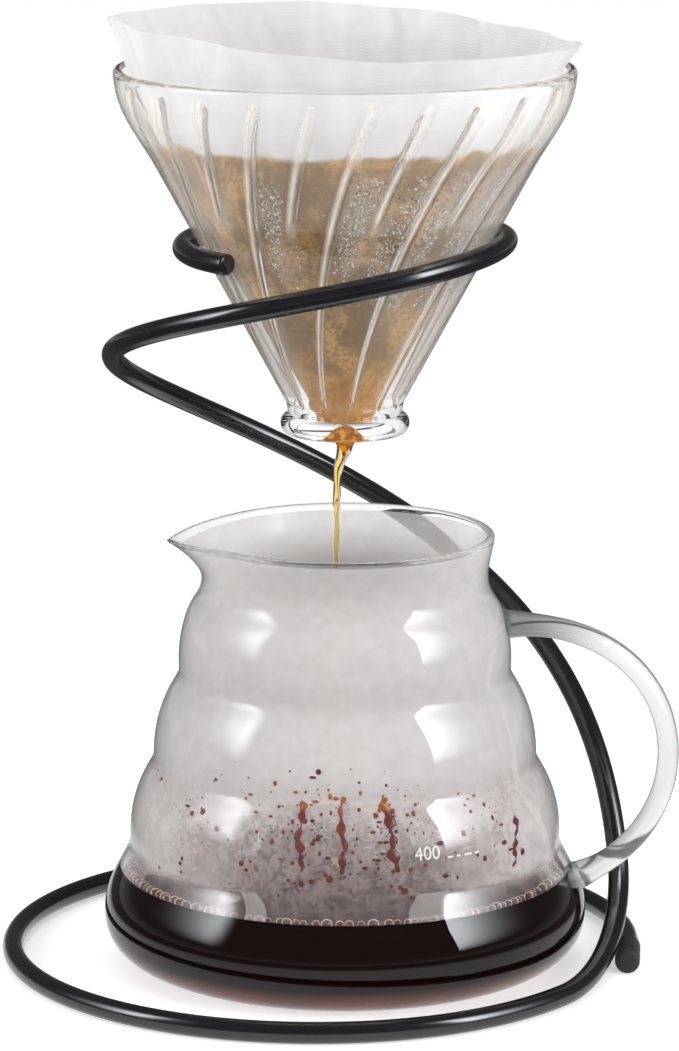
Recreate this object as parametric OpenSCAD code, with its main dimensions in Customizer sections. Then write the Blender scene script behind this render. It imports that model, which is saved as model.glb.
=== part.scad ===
// Pour-over dripper stand: one bent rod carries a ribbed glass dripper over a glass server.
// Millimetres, +Z up. The origin is the middle of the server's foot, on the table.

/* [Rod stand] */
// Diameter of the rod
rod_d = 5.4; // [4:0.2:6]
// Radius of the base loop, to the middle of the rod
base_r = 78.4; // [75.6:0.2:90]
// Place of the base loop's middle, left to right
base_x = -7; // [-9:0.2:-4]
// Place of the base loop's middle, front to back
base_y = 4.5; // [2:0.5:10]
// Radius of the ring that carries the dripper, to the middle of the rod
ring_r = 40.4; // [37:0.2:44]
// Height of the ring that carries the dripper, to the middle of the rod
ring_z = 185.8; // [180:0.2:210]
// Angle at which the rod's upper end stops, past the right-hand side
ring_stop = 224; // [190:2:240]
// How far the ring's end hangs below its start
ring_sag = 2; // [0:0.2:2.4]
// How the riser climbs: smaller is steeper at the foot
climb = 0.59; // [0.54:0.01:0.68]
// How the riser narrows: larger is earlier
narrowing = 1.44; // [1.3:0.02:1.7]
// How the riser moves over to the dripper's axis: larger is earlier
centring = 0.9; // [0.9:0.05:1.3]
// Length of the lead into the bend at the riser's foot
foot_in = 17.5; // [14:0.5:20]
// Length of the lead out of the bend at the riser's foot
foot_out = 18; // [14:0.5:20]
// How far the base loop is tucked in before that bend
tuck = 1; // [0:0.2:2]

/* [End cap] */
// Diameter of the cap on the rod's lower end
cap_d = 6.4; // [6.2:0.2:7.6]
// Length of the cap
cap_l = 14; // [8:1:16]
// Thickness of the cap's closed end
cap_end = 2; // [1:0.5:3]

/* [Glass dripper] */
// Outer diameter of the rim
rim_d = 115; // [112:1:120]
// Height from the outlet to the rim
dripper_h = 92; // [89:1:100]
// Outer radius of the neck above the outlet
neck_r = 14.8; // [13.6:0.2:16]
// Height of the neck
neck_h = 8; // [7:0.5:10]
// Half angle of the cone
cone_a = 28.5; // [27:0.5:29.5]
// Height at which the cone turns into the bowl
bowl_z = 67; // [62:1:69]
// Outer radius of the lip round the outlet
lip_r = 16.2; // [15.6:0.2:18]
// Height of the lip round the outlet
lip_h = 5; // [4:0.5:6]
// Thickness of the glass
dripper_wall = 2.4; // [2:0.2:3]
// Number of ribs, long and short ones in turn
rib_n = 24; // [16:2:28]
// Height of a rib above the wall
rib_h = 1.3; // [0.6:0.1:1.8]
// Turn of a rib from the outlet to the rim
rib_twist = 34; // [0:2:50]
// Angle of the first long rib at the outlet
rib_from = 4; // [0:1:14]
// Height at which the short ribs end
short_rib_z = 54; // [40:1:60]

/* [Paper filter] */
// Thickness of the paper
paper_t = 0.4; // [0.3:0.1:0.5]
// How far the tip reaches below the outlet
tip_drop = 5; // [2:0.5:8]
// How far the paper stands above the rim
paper_proud = 9; // [6:0.5:14]
// Radius of the paper's upper edge
paper_r = 58; // [56:0.5:60]
// Number of waves round the edge
wave_n = 12; // [8:1:14]
// Height of a wave at the edge
wave_h = 0.8; // [0.2:0.1:1]
// How much higher the edge stands at the left than in the middle
edge_tilt = 3.4; // [0:0.2:4]
// Width of the seam, as an angle
seam_a = 15; // [10:5:20]
// Height of the wet coffee above the outlet
slurry_z = 69; // [50:1:72]

/* [Glass server] */
// Height to the rim
server_h = 111; // [108:1:120]
// Radius of the flat foot
foot_r = 43; // [38:1:46]
// Largest radius of the belly
belly_r = 61.6; // [60.4:0.2:63]
// Height of the belly's largest radius
belly_z = 13.5; // [12:0.5:15]
// Radius of the lowest groove
groove_1_r = 54.8; // [53.8:0.2:56]
// Height of the lowest groove
groove_1_z = 31.3; // [30.1:0.2:32.5]
// Radius of the middle groove
groove_2_r = 48.7; // [47.7:0.2:49.9]
// Height of the middle groove
groove_2_z = 52.8; // [51:0.2:54.6]
// Radius of the upper groove
groove_3_r = 42; // [41:0.2:43]
// Height of the upper groove
groove_3_z = 75; // [73:0.2:77]
// How far each ring of the wall swells between two grooves
swell = 2; // [1.2:0.2:2.4]
// Radius of the throat below the rim
throat_r = 36.2; // [35:0.2:37]
// Distance from the throat up to the rim
throat_h = 11; // [10:0.5:13]
// Radius of the rim
mouth_r = 37.8; // [37.2:0.2:40]
// Reach of the spout past the rim
spout_l = 7.6; // [4:0.2:9]
// Half width of the spout, as an angle
spout_a = 42; // [32:2:55]
// Thickness of the glass
server_wall = 2.2; // [1.8:0.1:2.6]
// Thickness of the bottom
bottom_t = 3; // [2.5:0.5:4]
// Height of the coffee's surface above the table
coffee_z = 23.6; // [16:0.2:27]

/* [Server handle] */
// Thickness of the handle, seen from the side
handle_t = 5.4; // [4.6:0.2:6.4]
// Width of the handle, seen from its end
handle_w = 9; // [7:0.5:11]
// Height of the handle's upper end
handle_top = 87.3; // [85.3:0.5:88.8]
// Height of the handle's lower end
handle_low = 21; // [19:0.5:23]
// Reach of the handle from the axis, to its middle
handle_x = 81.7; // [79.7:0.5:86.7]

/* [Fits] */
// Gap between the dripper and its ring
seat_gap = 0.3; // [0.25:0.05:0.5]
// Gap between the paper and the ribs, and between coffee and what holds it
soft_gap = 0.3; // [0.25:0.05:0.5]
// Gap round the rod in its cap
cap_gap = 0.05; // [0.02:0.01:0.1]
// How far the foot of the riser leans over the capped end, seen from above
lean = 4.4; // [0:0.2:4.4]
// Depth to which the handle's ends are melted into the server's wall
weld = 1; // [0.6:0.1:1.4]

/* [Hidden] */
$fn = 96;

black = [0.13, 0.13, 0.14];
rubber = [0.08, 0.08, 0.085];
glass = [0.86, 0.92, 0.92, 0.4];
white = [0.96, 0.95, 0.93];
brown = [0.42, 0.27, 0.15];
dark = [0.12, 0.04, 0.02];

// Points and curves
function unit(v) = v / norm(v);
function ease(t) = let (s = min(max(t, 0), 1)) s * s * (3 - 2 * s);
function polar(r, a, z) = [r * cos(a), r * sin(a), z];
function last(list) = list[len(list) - 1];
function bezier(p, t) =
    let (u = 1 - t) u * u * u * p[0] + 3 * u * u * t * p[1] + 3 * u * t * t * p[2] + t * t * t * p[3];
function bezier_points(p, n, first = 0) = [for (i = [first : n]) bezier(p, i / n)];
// A stretch of profile from p to q that swells outwards by s, without its first point
function swelling(p, q, s, n) =
    let (out = unit([q.y - p.y, p.x - q.x]))
    [for (i = [1 : n]) let (t = i / n) p + (q - p) * t + out * s * 4 * t * (1 - t)];
// A half circle from p round to q, without its end points
function half_round(p, q, n) =
    let (c = (p + q) / 2, r = norm(q - p) / 2, a0 = atan2(p.y - c.y, p.x - c.x))
    [for (i = [1 : n - 1]) c + r * [cos(a0 + 180 * i / n), sin(a0 + 180 * i / n)]];
// The same profile, moved into the wall by d
function inset(p, d) =
    [for (i = [0 : len(p) - 1])
        let (v = p[min(i + 1, len(p) - 1)] - p[max(i - 1, 0)])
        p[i] - d * unit([v.y, -v.x])];

// A skin over rows of points. Each row is a closed loop, and all have the same number of points.
module skin(rows, wrap = false) {
    n = len(rows[0]);
    m = len(rows);
    sides = [for (i = [0 : m - (wrap ? 1 : 2)], j = [0 : n - 1])
        let (a = i * n + j, b = i * n + (j + 1) % n, up = (i + 1) % m * n, c = up + (j + 1) % n, d = up + j)
        each [[a, c, b], [a, d, c]]];
    ends = wrap ? [] : [[for (j = [0 : n - 1]) j], [for (j = [n - 1 : -1 : 0]) (m - 1) * n + j]];
    polyhedron([for (r = rows) each r], concat(sides, ends), convexity = 8);
}

// The rod's line: a loose end, the base loop, a bend, the riser and the ring
rod_r = rod_d / 2;
cap_r = cap_d / 2;
loose_out = rod_r + cap_r - lean;
loose_from = -4;
loose_span = 95;
tuck_from = 280;
tuck_span = 60;
loop_stop = 322.5;
riser_start = 361;
riser_first = 0.013;
ring_start = 720;
rod_step = 7;
rod_sides = 14;
rod_chamfer = 0.6;
base_middle = [base_x, base_y, 0];

// The base loop opens outwards and lifts a little towards its loose end, which wears the cap,
// and is tucked in at its other end, so that the riser's foot passes inside the cap
function loop_point(a) =
    let (loose = 1 - ease((a - loose_from) / loose_span))
    base_middle + polar(base_r + loose_out * loose - tuck * ease((a - tuck_from) / tuck_span), a,
                        rod_r + (cap_r - rod_r) * loose);
// The riser narrows and moves over to the dripper's axis while it climbs
function riser_point(t) =
    base_middle * pow(1 - t, centring)
    + polar(ring_r + (base_r - ring_r) * pow(1 - t, narrowing),
            riser_start + (ring_start - riser_start) * t,
            rod_r + (ring_z - rod_r) * pow(1 - (1 - t) * (1 - t), climb));
function bend_points(n) =
    let (p = loop_point(loop_stop), q = riser_point(riser_first),
         p_way = unit(p - loop_point(loop_stop - 0.1)), q_way = unit(riser_point(riser_first + 0.0005) - q))
    bezier_points([p, p + p_way * foot_in, q - q_way * foot_out, q], n, 1);
loose_way = unit(loop_point(loose_from) - loop_point(loose_from + 0.1));
loose_end = loop_point(loose_from) + [loose_way.x, loose_way.y, 0] * cap_l;
// The ring hangs a little lower towards its end
function ring_point(a) = polar(ring_r, ring_start + a, ring_z - ring_sag * ease(a / ring_stop));
ring_end = ring_point(ring_stop);
ring_way = [-sin(ring_stop), cos(ring_stop), 0];
rod_line = concat(
    [loose_end],
    [for (a = [loose_from : rod_step : loop_stop - 1]) loop_point(a)],
    [loop_point(loop_stop)],
    bend_points(12),
    [for (i = [1 : 46]) riser_point(riser_first + (1 - riser_first) * pow(i / 46, 1.5))],
    [for (a = [rod_step : rod_step : ring_stop - 1]) ring_point(a)],
    [ring_end, ring_end + ring_way * rod_chamfer]);

// A round section at point i of a line, square to the line
function section(line, i, r, n) =
    let (way = unit(line[min(i + 1, len(line) - 1)] - line[max(i - 1, 0)]),
         out = [line[i].x, line[i].y, 0],
         u = unit(out - way * (out * way)), v = cross(way, u))
    [for (k = [0 : n - 1]) line[i] + r * (u * cos(360 * k / n) + v * sin(360 * k / n))];

module stand_rod() {
    stop = len(rod_line) - 1;
    color(black)
        skin([for (i = [0 : stop]) section(rod_line, i, rod_r - (i == stop ? rod_chamfer : 0), rod_sides)]);
}

module base_end_cap() {
    bore_r = rod_r + cap_gap;
    edge = (cap_r - bore_r) / 2;
    color(rubber)
        translate(loose_end + [loose_way.x, loose_way.y, 0] * (cap_end + cap_gap))
            rotate([0, -90, atan2(loose_way.y, loose_way.x)])
                difference() {
                    rotate_extrude() polygon([
                        [0, 0], [cap_r - edge * 3, 0], [cap_r - edge, edge], [cap_r, edge * 3],
                        [cap_r, cap_l - edge], [cap_r - edge, cap_l], [0, cap_l]]);
                    translate([0, 0, cap_end]) cylinder(r = bore_r, h = cap_l);
                }
}

// The dripper's outline, from its outlet up
rim_r = rim_d / 2;
bowl_h = dripper_h - bowl_z;
bowl = [neck_r + (bowl_z - neck_h) * tan(cone_a), bowl_z];
rim = [rim_r, dripper_h - dripper_wall / 2];
dripper_side = concat(
    [[neck_r, neck_h]],
    bezier_points([bowl, bowl + [tan(cone_a), 1] * bowl_h * 0.36, rim - [0.5, bowl_h * 0.4], rim], 8));
dripper_inside = inset(dripper_side, dripper_wall);
outlet_r = dripper_inside[0].x;
// The height at which the cone rests on the ring
dripper_z = ring_z - neck_h - (ring_r - (rod_r + seat_gap) / cos(cone_a) - neck_r) / tan(cone_a);

// Ribs rise from the inner wall, fade out at the rim and outlet, and every second one is short
rib_steps = [1, 0.3, 0, 0, 0.3];
rib_fade = 9;
rib_top = 5;
function rib(j, z) =
    let (step = len(rib_steps), short = floor((j + 1) / step) % 2 == 1,
         low = ease((z - (short ? short_rib_z : 0)) / rib_fade), high = ease((dripper_h - z) / rib_top - 0.4),
         slim = min(1, 0.3 + z / bowl_z))
    rib_h * rib_steps[j % step] * low * high * slim;

module dripper_cavity() {
    cols = rib_n * len(rib_steps);
    low = dripper_inside[0];
    line = concat(
        [[outlet_r, -1], [outlet_r, low.y / 2], low],
        [for (i = [1 : 6]) low + (dripper_inside[1] - low) * i / 7],
        [for (i = [1 : len(dripper_inside) - 2]) dripper_inside[i]],
        [[last(dripper_inside).x + 0.2, dripper_h + 1]]);
    skin([for (p = line)
        [for (j = [0 : cols - 1])
            polar(p.x - rib(j, p.y), 360 * j / cols + rib_from + rib_twist * p.y / dripper_h, p.y)]]);
}

module dripper_glass() {
    lip_in = neck_r - 0.6;
    lip = half_round([0, -lip_h / 2], [0, lip_h / 2], 8);
    color(glass) translate([0, 0, dripper_z])
        difference() {
            rotate_extrude() polygon(concat(
                [[0, 0], [lip_in, 0]],
                [for (p = lip) [lip_in + p.x * (lip_r - lip_in) * 2 / lip_h, lip_h / 2 + p.y]],
                [[lip_in, lip_h]],
                dripper_side,
                half_round(rim, last(dripper_inside), 6),
                [last(dripper_inside), [0, last(dripper_inside).y]]));
            dripper_cavity();
        }
}

// The paper lies on the ribs of the cone, stands up round the bowl and leans out over the rim
tip_r = 1.2;
seam_at = 60;
pass_z = dripper_h - 1;
cone_in = dripper_inside[1].x - (dripper_inside[1].y - bowl_z) * tan(cone_a);
paper_cone_r = cone_in - rib_h - soft_gap - paper_t;
paper_pass_r = last(dripper_inside).x - soft_gap - paper_t - 1.5 * wave_h;
paper_line = [
    [tip_r, -tip_drop],
    [(tip_r + paper_cone_r) / 2, (bowl_z - tip_drop) / 2],
    [paper_cone_r, bowl_z],
    [paper_cone_r + (paper_pass_r - paper_cone_r) * 0.6, bowl_z + bowl_h / 2],
    [paper_pass_r, pass_z],
    [(paper_pass_r + paper_r) / 2, dripper_h + paper_proud / 2],
    [paper_r, dripper_h + paper_proud]];
paper_slope = (paper_cone_r - tip_r) / (bowl_z + tip_drop);
// The paper's thickness, measured level
paper_level = paper_t * norm([paper_slope, 1]);

// One row round the paper: waves grow towards the edge, and the seam is one sheet thicker
function paper_row(p, cols, seam) =
    let (grow = ease((p.y - bowl_z) / (bowl_h + paper_proud)),
         tilt = edge_tilt * max(0, p.y - pass_z) / (dripper_h + paper_proud - pass_z))
    [for (j = [0 : cols - 1])
        let (a = 360 * j / cols, wave = cos(wave_n * a) + 0.35 * cos(5 * a), fold = a <= seam_a ? seam : 0)
        polar(p.x + wave_h * grow * wave + fold, a + seam_at,
              p.y + wave_h * grow * sin(3 * a) - tilt * cos(a + seam_at))];

module paper_filter() {
    cols = wave_n * 6;
    inner = [for (p = paper_line) [max(p.x - paper_level, tip_r / 2), max(p.y, paper_t - tip_drop)]];
    stop = len(inner) - 1;
    color(white) translate([0, 0, dripper_z])
        skin(concat(
            [for (p = paper_line) paper_row(p, cols, p.x > tip_r ? paper_t : 0)],
            [for (i = [stop : -1 : 0]) paper_row(inner[i], cols, 0)]));
}

module coffee_slurry() {
    clear = paper_level + soft_gap;
    low_z = (clear + tip_r) / paper_slope - tip_drop;
    function slurry_r(z) = tip_r - clear + (z + tip_drop) * paper_slope;
    cone_top = min(slurry_z, bowl_z);
    top_r = slurry_r(cone_top);
    color(brown) translate([0, 0, dripper_z])
        rotate_extrude() polygon([
            [0, low_z], [slurry_r(low_z), low_z], [top_r, cone_top], [top_r, slurry_z],
            [top_r * 0.6, slurry_z - 1.5], [0, slurry_z - 2]]);
}

// The server's outline, from the foot up to its throat
groove_1 = [groove_1_r, groove_1_z];
groove_2 = [groove_2_r, groove_2_z];
groove_3 = [groove_3_r, groove_3_z];
throat = [throat_r, server_h - throat_h];
shoulder = groove_3 + [-1.8, (throat.y - groove_3_z) * 0.62];
server_side = concat(
    bezier_points([[foot_r, 0], [foot_r + (belly_r - foot_r) * 0.7, 0],
                   [belly_r, belly_z * 0.4], [belly_r, belly_z]], 8),
    bezier_points([[belly_r, belly_z], [belly_r, belly_z * 1.5], groove_1 + [1.6, -5], groove_1], 8, 1),
    swelling(groove_1, groove_2, swell, 8),
    swelling(groove_2, groove_3, swell, 8),
    swelling(groove_3, shoulder, swell * 0.45, 6),
    bezier_points([shoulder, shoulder + [-1.2, 4], throat - [0, 5], throat], 6, 1));
// The inner wall above the bottom, d inside the outline
function inside_wall(d, floor_z, top_z) =
    [for (p = inset(server_side, d)) if (p.y > floor_z + 0.6 && p.y < top_z) p];
server_inside = inside_wall(server_wall, bottom_t, server_h);
floor_r = server_inside[0].x - 3;

// The mouth: from the throat up the wall flares, rounds over, and is pulled out into a spout
module server_mouth() {
    cols = 72;
    lap = 1;
    side = concat(
        [throat - [0, lap]],
        bezier_points([throat, throat + [0, 4], [mouth_r - 0.6, server_h - 4],
                       [mouth_r, server_h - server_wall / 2]], 5));
    outer = [for (p = side) p - [0.05, 0]];
    inner = [for (p = inset(side, server_wall)) [p.x + 0.1, max(p.y, throat.y - lap)]];
    loop = concat(
        outer,
        half_round(last(outer), last(inner), 4),
        [for (i = [len(inner) - 1 : -1 : 0]) inner[i]]);
    skin([for (j = [cols - 1 : -1 : 0])
        let (a = 360 * j / cols, pull = spout_l * pow(max(0, 1 - abs(a - 180) / spout_a), 1.4))
        [for (p = loop)
            let (up = pow(max(0, (p.y - throat.y) / throat_h), 1.6))
            polar(p.x + pull * up, a, p.y - pull * up / 4)]], wrap = true);
}

module server_glass() {
    color(glass) {
        rotate_extrude() polygon(concat(
            [[0, 0]], server_side,
            [for (i = [len(server_inside) - 1 : -1 : 0]) [server_inside[i].x, min(server_inside[i].y, throat.y)]],
            [[floor_r, bottom_t], [0, bottom_t]]));
        server_mouth();
    }
}

module brewed_coffee() {
    edge = 0.5;
    inside = inside_wall(server_wall + soft_gap, bottom_t + soft_gap, server_h);
    top_r = lookup(coffee_z, [for (p = inside) [p.y, p.x]]) - edge;
    color(dark) rotate_extrude() polygon(concat(
        [[0, bottom_t + soft_gap], [floor_r - soft_gap, bottom_t + soft_gap]],
        [for (p = inside) if (p.y < coffee_z - edge) p],
        [[top_r, coffee_z], [0, coffee_z]]));
}

// The wall's radius at a height, read off the server's outline
function wall_r(z) = lookup(z, [for (p = server_side) [p.y, p.x]]);

module server_handle() {
    from = [wall_r(handle_top) - weld, 0, handle_top];
    to = [wall_r(handle_low) - weld, 0, handle_low];
    reach = (handle_x - (from.x + to.x) / 8) * 4 / 3;
    line = bezier_points([from, [reach - 3, 0, handle_top + 2], [reach + 3, 0, handle_low + 14], to], 30);
    stop = len(line) - 1;
    sides = 14;
    // The ends spread where they are melted on to the wall
    function spread(i) = 1 + 0.35 * pow(max(0, 1 - min(i, stop - i) / 3), 2);
    color(glass)
        skin([for (i = [0 : stop])
            let (way = unit(line[min(i + 1, stop)] - line[max(i - 1, 0)]), out = [way.z, 0, -way.x] * handle_t / 2)
            [for (k = [0 : sides - 1])
                let (a = 360 * k / sides)
                line[i] + spread(i) * (out * cos(a) + [0, handle_w / 2 * sin(a), 0])]]);
}

stand_rod();
base_end_cap();
dripper_glass();
paper_filter();
coffee_slurry();
server_glass();
server_handle();
brewed_coffee();
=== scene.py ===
"""Looks for the pour-over dripper stand: bent rod, ribbed glass dripper, paper filter and glass server."""

import math
from functools import partialmethod

import bpy
import numpy as np
from bpy.props import FloatProperty, FloatVectorProperty, IntProperty, PointerProperty
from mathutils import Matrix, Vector


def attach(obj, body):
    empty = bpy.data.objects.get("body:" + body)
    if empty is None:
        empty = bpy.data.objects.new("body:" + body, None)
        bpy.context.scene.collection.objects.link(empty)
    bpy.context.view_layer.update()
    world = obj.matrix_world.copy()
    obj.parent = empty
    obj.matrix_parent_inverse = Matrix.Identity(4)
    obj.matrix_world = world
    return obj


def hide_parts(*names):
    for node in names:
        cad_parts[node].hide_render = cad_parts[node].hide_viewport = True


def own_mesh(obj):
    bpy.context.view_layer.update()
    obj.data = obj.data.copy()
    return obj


bl_info = {
    "name": "Pour-over dripper stand",
    "version": (1, 0, 0),
    "blender": (4, 5, 0),
    "location": "View3D > Sidebar > Pour-over",
    "description": "Builds the stand, dripper, filter and server, with coffee running through them",
    "category": "Object",
}

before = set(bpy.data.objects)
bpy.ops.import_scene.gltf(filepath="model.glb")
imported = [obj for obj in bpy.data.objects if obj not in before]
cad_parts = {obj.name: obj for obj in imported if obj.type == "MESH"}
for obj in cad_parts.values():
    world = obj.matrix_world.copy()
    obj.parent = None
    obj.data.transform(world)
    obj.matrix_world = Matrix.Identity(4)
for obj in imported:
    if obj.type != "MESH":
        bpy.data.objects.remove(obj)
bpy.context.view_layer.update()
MM = 0.001
LOOP_START = -4  # degrees, where the base loop goes over into its straight capped end
RIB_START = 9 * MM  # length over which a rib grows to its full height
COFFEE_IOR = 1.34  # refractive index of coffee


# Settings


def length(name, description, default):
    return FloatProperty(name=name, description=description, default=default, unit="LENGTH", precision=5)


def lengths(name, description, default):
    return FloatVectorProperty(name=name, description=description, default=default, size=3, unit="LENGTH")


def angle(name, description, default):
    return FloatProperty(name=name, description=description, default=math.radians(default), subtype="ANGLE")


def share(name, description, default):
    return FloatProperty(name=name, description=description, default=default, subtype="FACTOR")


def colour(name, description, default):
    return FloatVectorProperty(name=name, description=description, default=default, size=3, subtype="COLOR",
                               min=0, max=1)


class RodSizes(bpy.types.PropertyGroup):
    """Sizes of the bent rod and its cap"""
    diameter: length("Rod diameter", "Diameter of the rod", 0.0054)
    base_radius: length("Base radius", "Radius of the base loop, to the middle of the rod", 0.0784)
    base_x: length("Base place, left to right", "Place of the base loop's middle", -0.007)
    base_y: length("Base place, front to back", "Place of the base loop's middle", 0.0045)
    ring_radius: length("Ring radius", "Radius of the ring that carries the dripper", 0.0404)
    ring_height: length("Ring height", "Height of the ring that carries the dripper", 0.1858)
    ring_stop: angle("Ring end", "Angle at which the rod's upper end stops", 224)
    ring_sag: length("Ring sag", "How far the ring's end hangs below its start", 0.002)
    climb: share("Climb", "How the riser climbs: smaller is steeper at the foot", 0.59)
    narrowing: FloatProperty(name="Narrowing", description="How early the riser narrows", default=1.44)
    centring: share("Centring", "How early the riser moves over to the dripper's axis", 0.9)
    lead_in: length("Lead into the bend", "Length of the lead into the bend at the riser's foot", 0.0175)
    lead_out: length("Lead out of the bend", "Length of the lead out of that bend", 0.018)
    tuck: length("Tuck", "How far the base loop is tucked in before that bend", 0.001)
    lean: length("Lean", "How far the riser's foot leans over the capped end", 0.0044)
    cap_diameter: length("Cap diameter", "Diameter of the cap on the rod's lower end", 0.0064)
    cap_length: length("Cap length", "Length of the cap", 0.014)
    cap_end: length("Cap end", "Thickness of the cap's closed end", 0.002)
    black: colour("Rod black", "Colour of the coated rod", (0.006, 0.006, 0.0072))


class DripperSizes(bpy.types.PropertyGroup):
    """Sizes of the ribbed glass cone"""
    rim_radius: length("Rim radius", "Outer radius of the rim", 0.0575)
    height: length("Height", "Height from the outlet to the rim", 0.092)
    neck_radius: length("Neck radius", "Outer radius of the neck above the outlet", 0.0148)
    neck_height: length("Neck height", "Height of the neck", 0.008)
    cone_angle: angle("Cone angle", "Half angle of the cone", 28.5)
    bowl_height: length("Bowl height", "Height at which the cone turns into the bowl", 0.067)
    lip_radius: length("Lip radius", "Outer radius of the lip round the outlet", 0.0162)
    lip_height: length("Lip height", "Height of the lip round the outlet", 0.005)
    wall: length("Wall", "Thickness of the glass", 0.0024)
    rib_count: IntProperty(name="Ribs", description="Number of ribs, long and short ones in turn", default=24)
    rib_height: length("Rib height", "Height of a rib above the wall", 0.0013)
    rib_turn: angle("Rib turn", "Turn of a rib from the outlet to the rim", 34)
    rib_from: angle("First rib", "Angle of the first long rib at the outlet", 4)
    short_rib: length("Short rib", "Height above the outlet at which the short ribs begin", 0.054)
    seat_gap: length("Seat gap", "Gap between the dripper and its ring", 0.0003)


class PaperSizes(bpy.types.PropertyGroup):
    """Sizes and colours of the paper filter and what is in it"""
    thickness: length("Thickness", "Thickness of the paper", 0.0004)
    tip_drop: length("Tip", "How far the tip reaches below the outlet", 0.005)
    proud: length("Stand-up", "How far the paper stands above the rim", 0.009)
    edge_radius: length("Edge radius", "Radius of the upper edge", 0.058)
    waves: IntProperty(name="Waves", description="Number of waves round the edge", default=12)
    wave_height: length("Wave height", "Height of a wave at the edge", 0.0008)
    edge_tilt: length("Edge tilt", "How much higher the edge stands at the left", 0.0034)
    seam: angle("Seam", "Width of the seam, as an angle", 15)
    wet_line: length("Wet line", "Height of the wet part above the outlet", 0.0758)
    slurry: length("Slurry", "Height of the wet coffee above the outlet", 0.069)
    dry: colour("Dry paper", "Colour of the dry paper", (0.87, 0.87, 0.87))
    wet: colour("Wet paper", "Colour of the wet paper", (0.62, 0.365, 0.135))
    grounds: colour("Grounds", "Colour of the wet grounds", (0.09, 0.042, 0.02))
    amber: colour("Amber", "Colour of the running coffee", (0.93, 0.68, 0.24))


class ServerSizes(bpy.types.PropertyGroup):
    """Sizes and colours of the glass server, its handle and its coffee"""
    height: length("Height", "Height to the rim", 0.111)
    foot_radius: length("Foot radius", "Radius of the flat foot", 0.043)
    belly_radius: length("Belly radius", "Largest radius of the belly", 0.0616)
    belly_height: length("Belly height", "Height of the belly's largest radius", 0.0135)
    groove_radii: lengths("Groove radii", "Radii of the grooves, lowest first", (0.0548, 0.0487, 0.042))
    groove_heights: lengths("Groove heights", "Heights of the grooves", (0.0313, 0.0528, 0.075))
    swell: length("Swell", "How far the wall swells between two grooves", 0.002)
    throat_radius: length("Throat radius", "Radius of the throat below the rim", 0.0362)
    throat_height: length("Throat height", "Distance from the throat up to the rim", 0.011)
    mouth_radius: length("Mouth radius", "Radius of the rim", 0.0378)
    spout: length("Spout", "Reach of the spout past the rim", 0.0076)
    spout_width: angle("Spout width", "Half width of the spout, as an angle", 42)
    wall: length("Wall", "Thickness of the glass", 0.0022)
    bottom: length("Bottom", "Thickness of the bottom", 0.003)
    coffee: length("Coffee", "Height of the coffee's surface above the table", 0.0236)
    handle_thickness: length("Handle thickness", "Thickness of the handle, seen from the side", 0.0054)
    handle_width: length("Handle width", "Width of the handle, seen from its end", 0.009)
    handle_top: length("Handle top", "Height of the handle's upper end", 0.0873)
    handle_low: length("Handle foot", "Height of the handle's lower end", 0.021)
    handle_reach: length("Handle reach", "Reach of the handle from the axis", 0.0817)
    weld: length("Weld", "Depth to which the handle is melted into the wall", 0.001)
    brew: colour("Coffee colour", "Colour of the coffee in the server", (0.006, 0.0016, 0.0012))
    steam: colour("Steam colour", "Colour of the steamed-up wall", (0.67, 0.65, 0.64))


class PourOver(bpy.types.PropertyGroup):
    """All settings of the set"""
    rod: PointerProperty(type=RodSizes)
    dripper: PointerProperty(type=DripperSizes)
    paper: PointerProperty(type=PaperSizes)
    server: PointerProperty(type=ServerSizes)


# Lines and profiles


def ease(t):
    t = np.clip(t, 0, 1)
    return t * t * (3 - 2 * t)


def around(value, middle, width):
    """A soft hump of the given half width."""
    return np.exp(-((value - middle) / width) ** 2)


def unit(way):
    return way / np.linalg.norm(way, axis=-1, keepdims=True)


def circle(count):
    return np.linspace(0, 2 * math.pi, count, endpoint=False)


def polar(r, a, z):
    return np.stack(np.broadcast_arrays(r * np.cos(a), r * np.sin(a), z), -1)


def from_front(degrees):
    """The angle round the axis that lies so many degrees from the front."""
    return np.radians(degrees - 90)


def turned(profile, angles):
    return polar(profile[:, 0, None], angles[None], profile[:, 1, None])


def bezier(points, count, first=0):
    p = [np.asarray(q, float) for q in points]
    t = np.linspace(0, 1, count + 1)[first:, None]
    u = 1 - t
    return u ** 3 * p[0] + 3 * u * u * t * p[1] + 3 * u * t * t * p[2] + t ** 3 * p[3]


def swelling(p, q, rise, count):
    """A stretch of profile from p to q that swells outwards, without its first point."""
    out = np.array([q[1] - p[1], p[0] - q[0]]) / np.linalg.norm(q - p)
    t = np.linspace(0, 1, count + 1)[1:, None]
    return p + (q - p) * t + out * rise * 4 * t * (1 - t)


def half_round(p, q, count):
    """A half circle from p to q, without its end points."""
    middle, radius = (p + q) / 2, np.linalg.norm(q - p) / 2
    start = math.atan2(p[1] - middle[1], p[0] - middle[0])
    a = start + math.pi * np.arange(1, count) / count
    return middle + radius * np.stack([np.cos(a), np.sin(a)], -1)


def inset(line, depth):
    """The same profile, moved into the wall."""
    way = unit(np.gradient(line, axis=0))
    return line - depth * np.stack([way[:, 1], -way[:, 0]], -1)


def film(line, part, outer, inner):
    """A closed thin profile between two depths in part of a wall."""
    return np.concatenate([inset(line, outer)[part], inset(line, inner)[part][::-1]])


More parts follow.
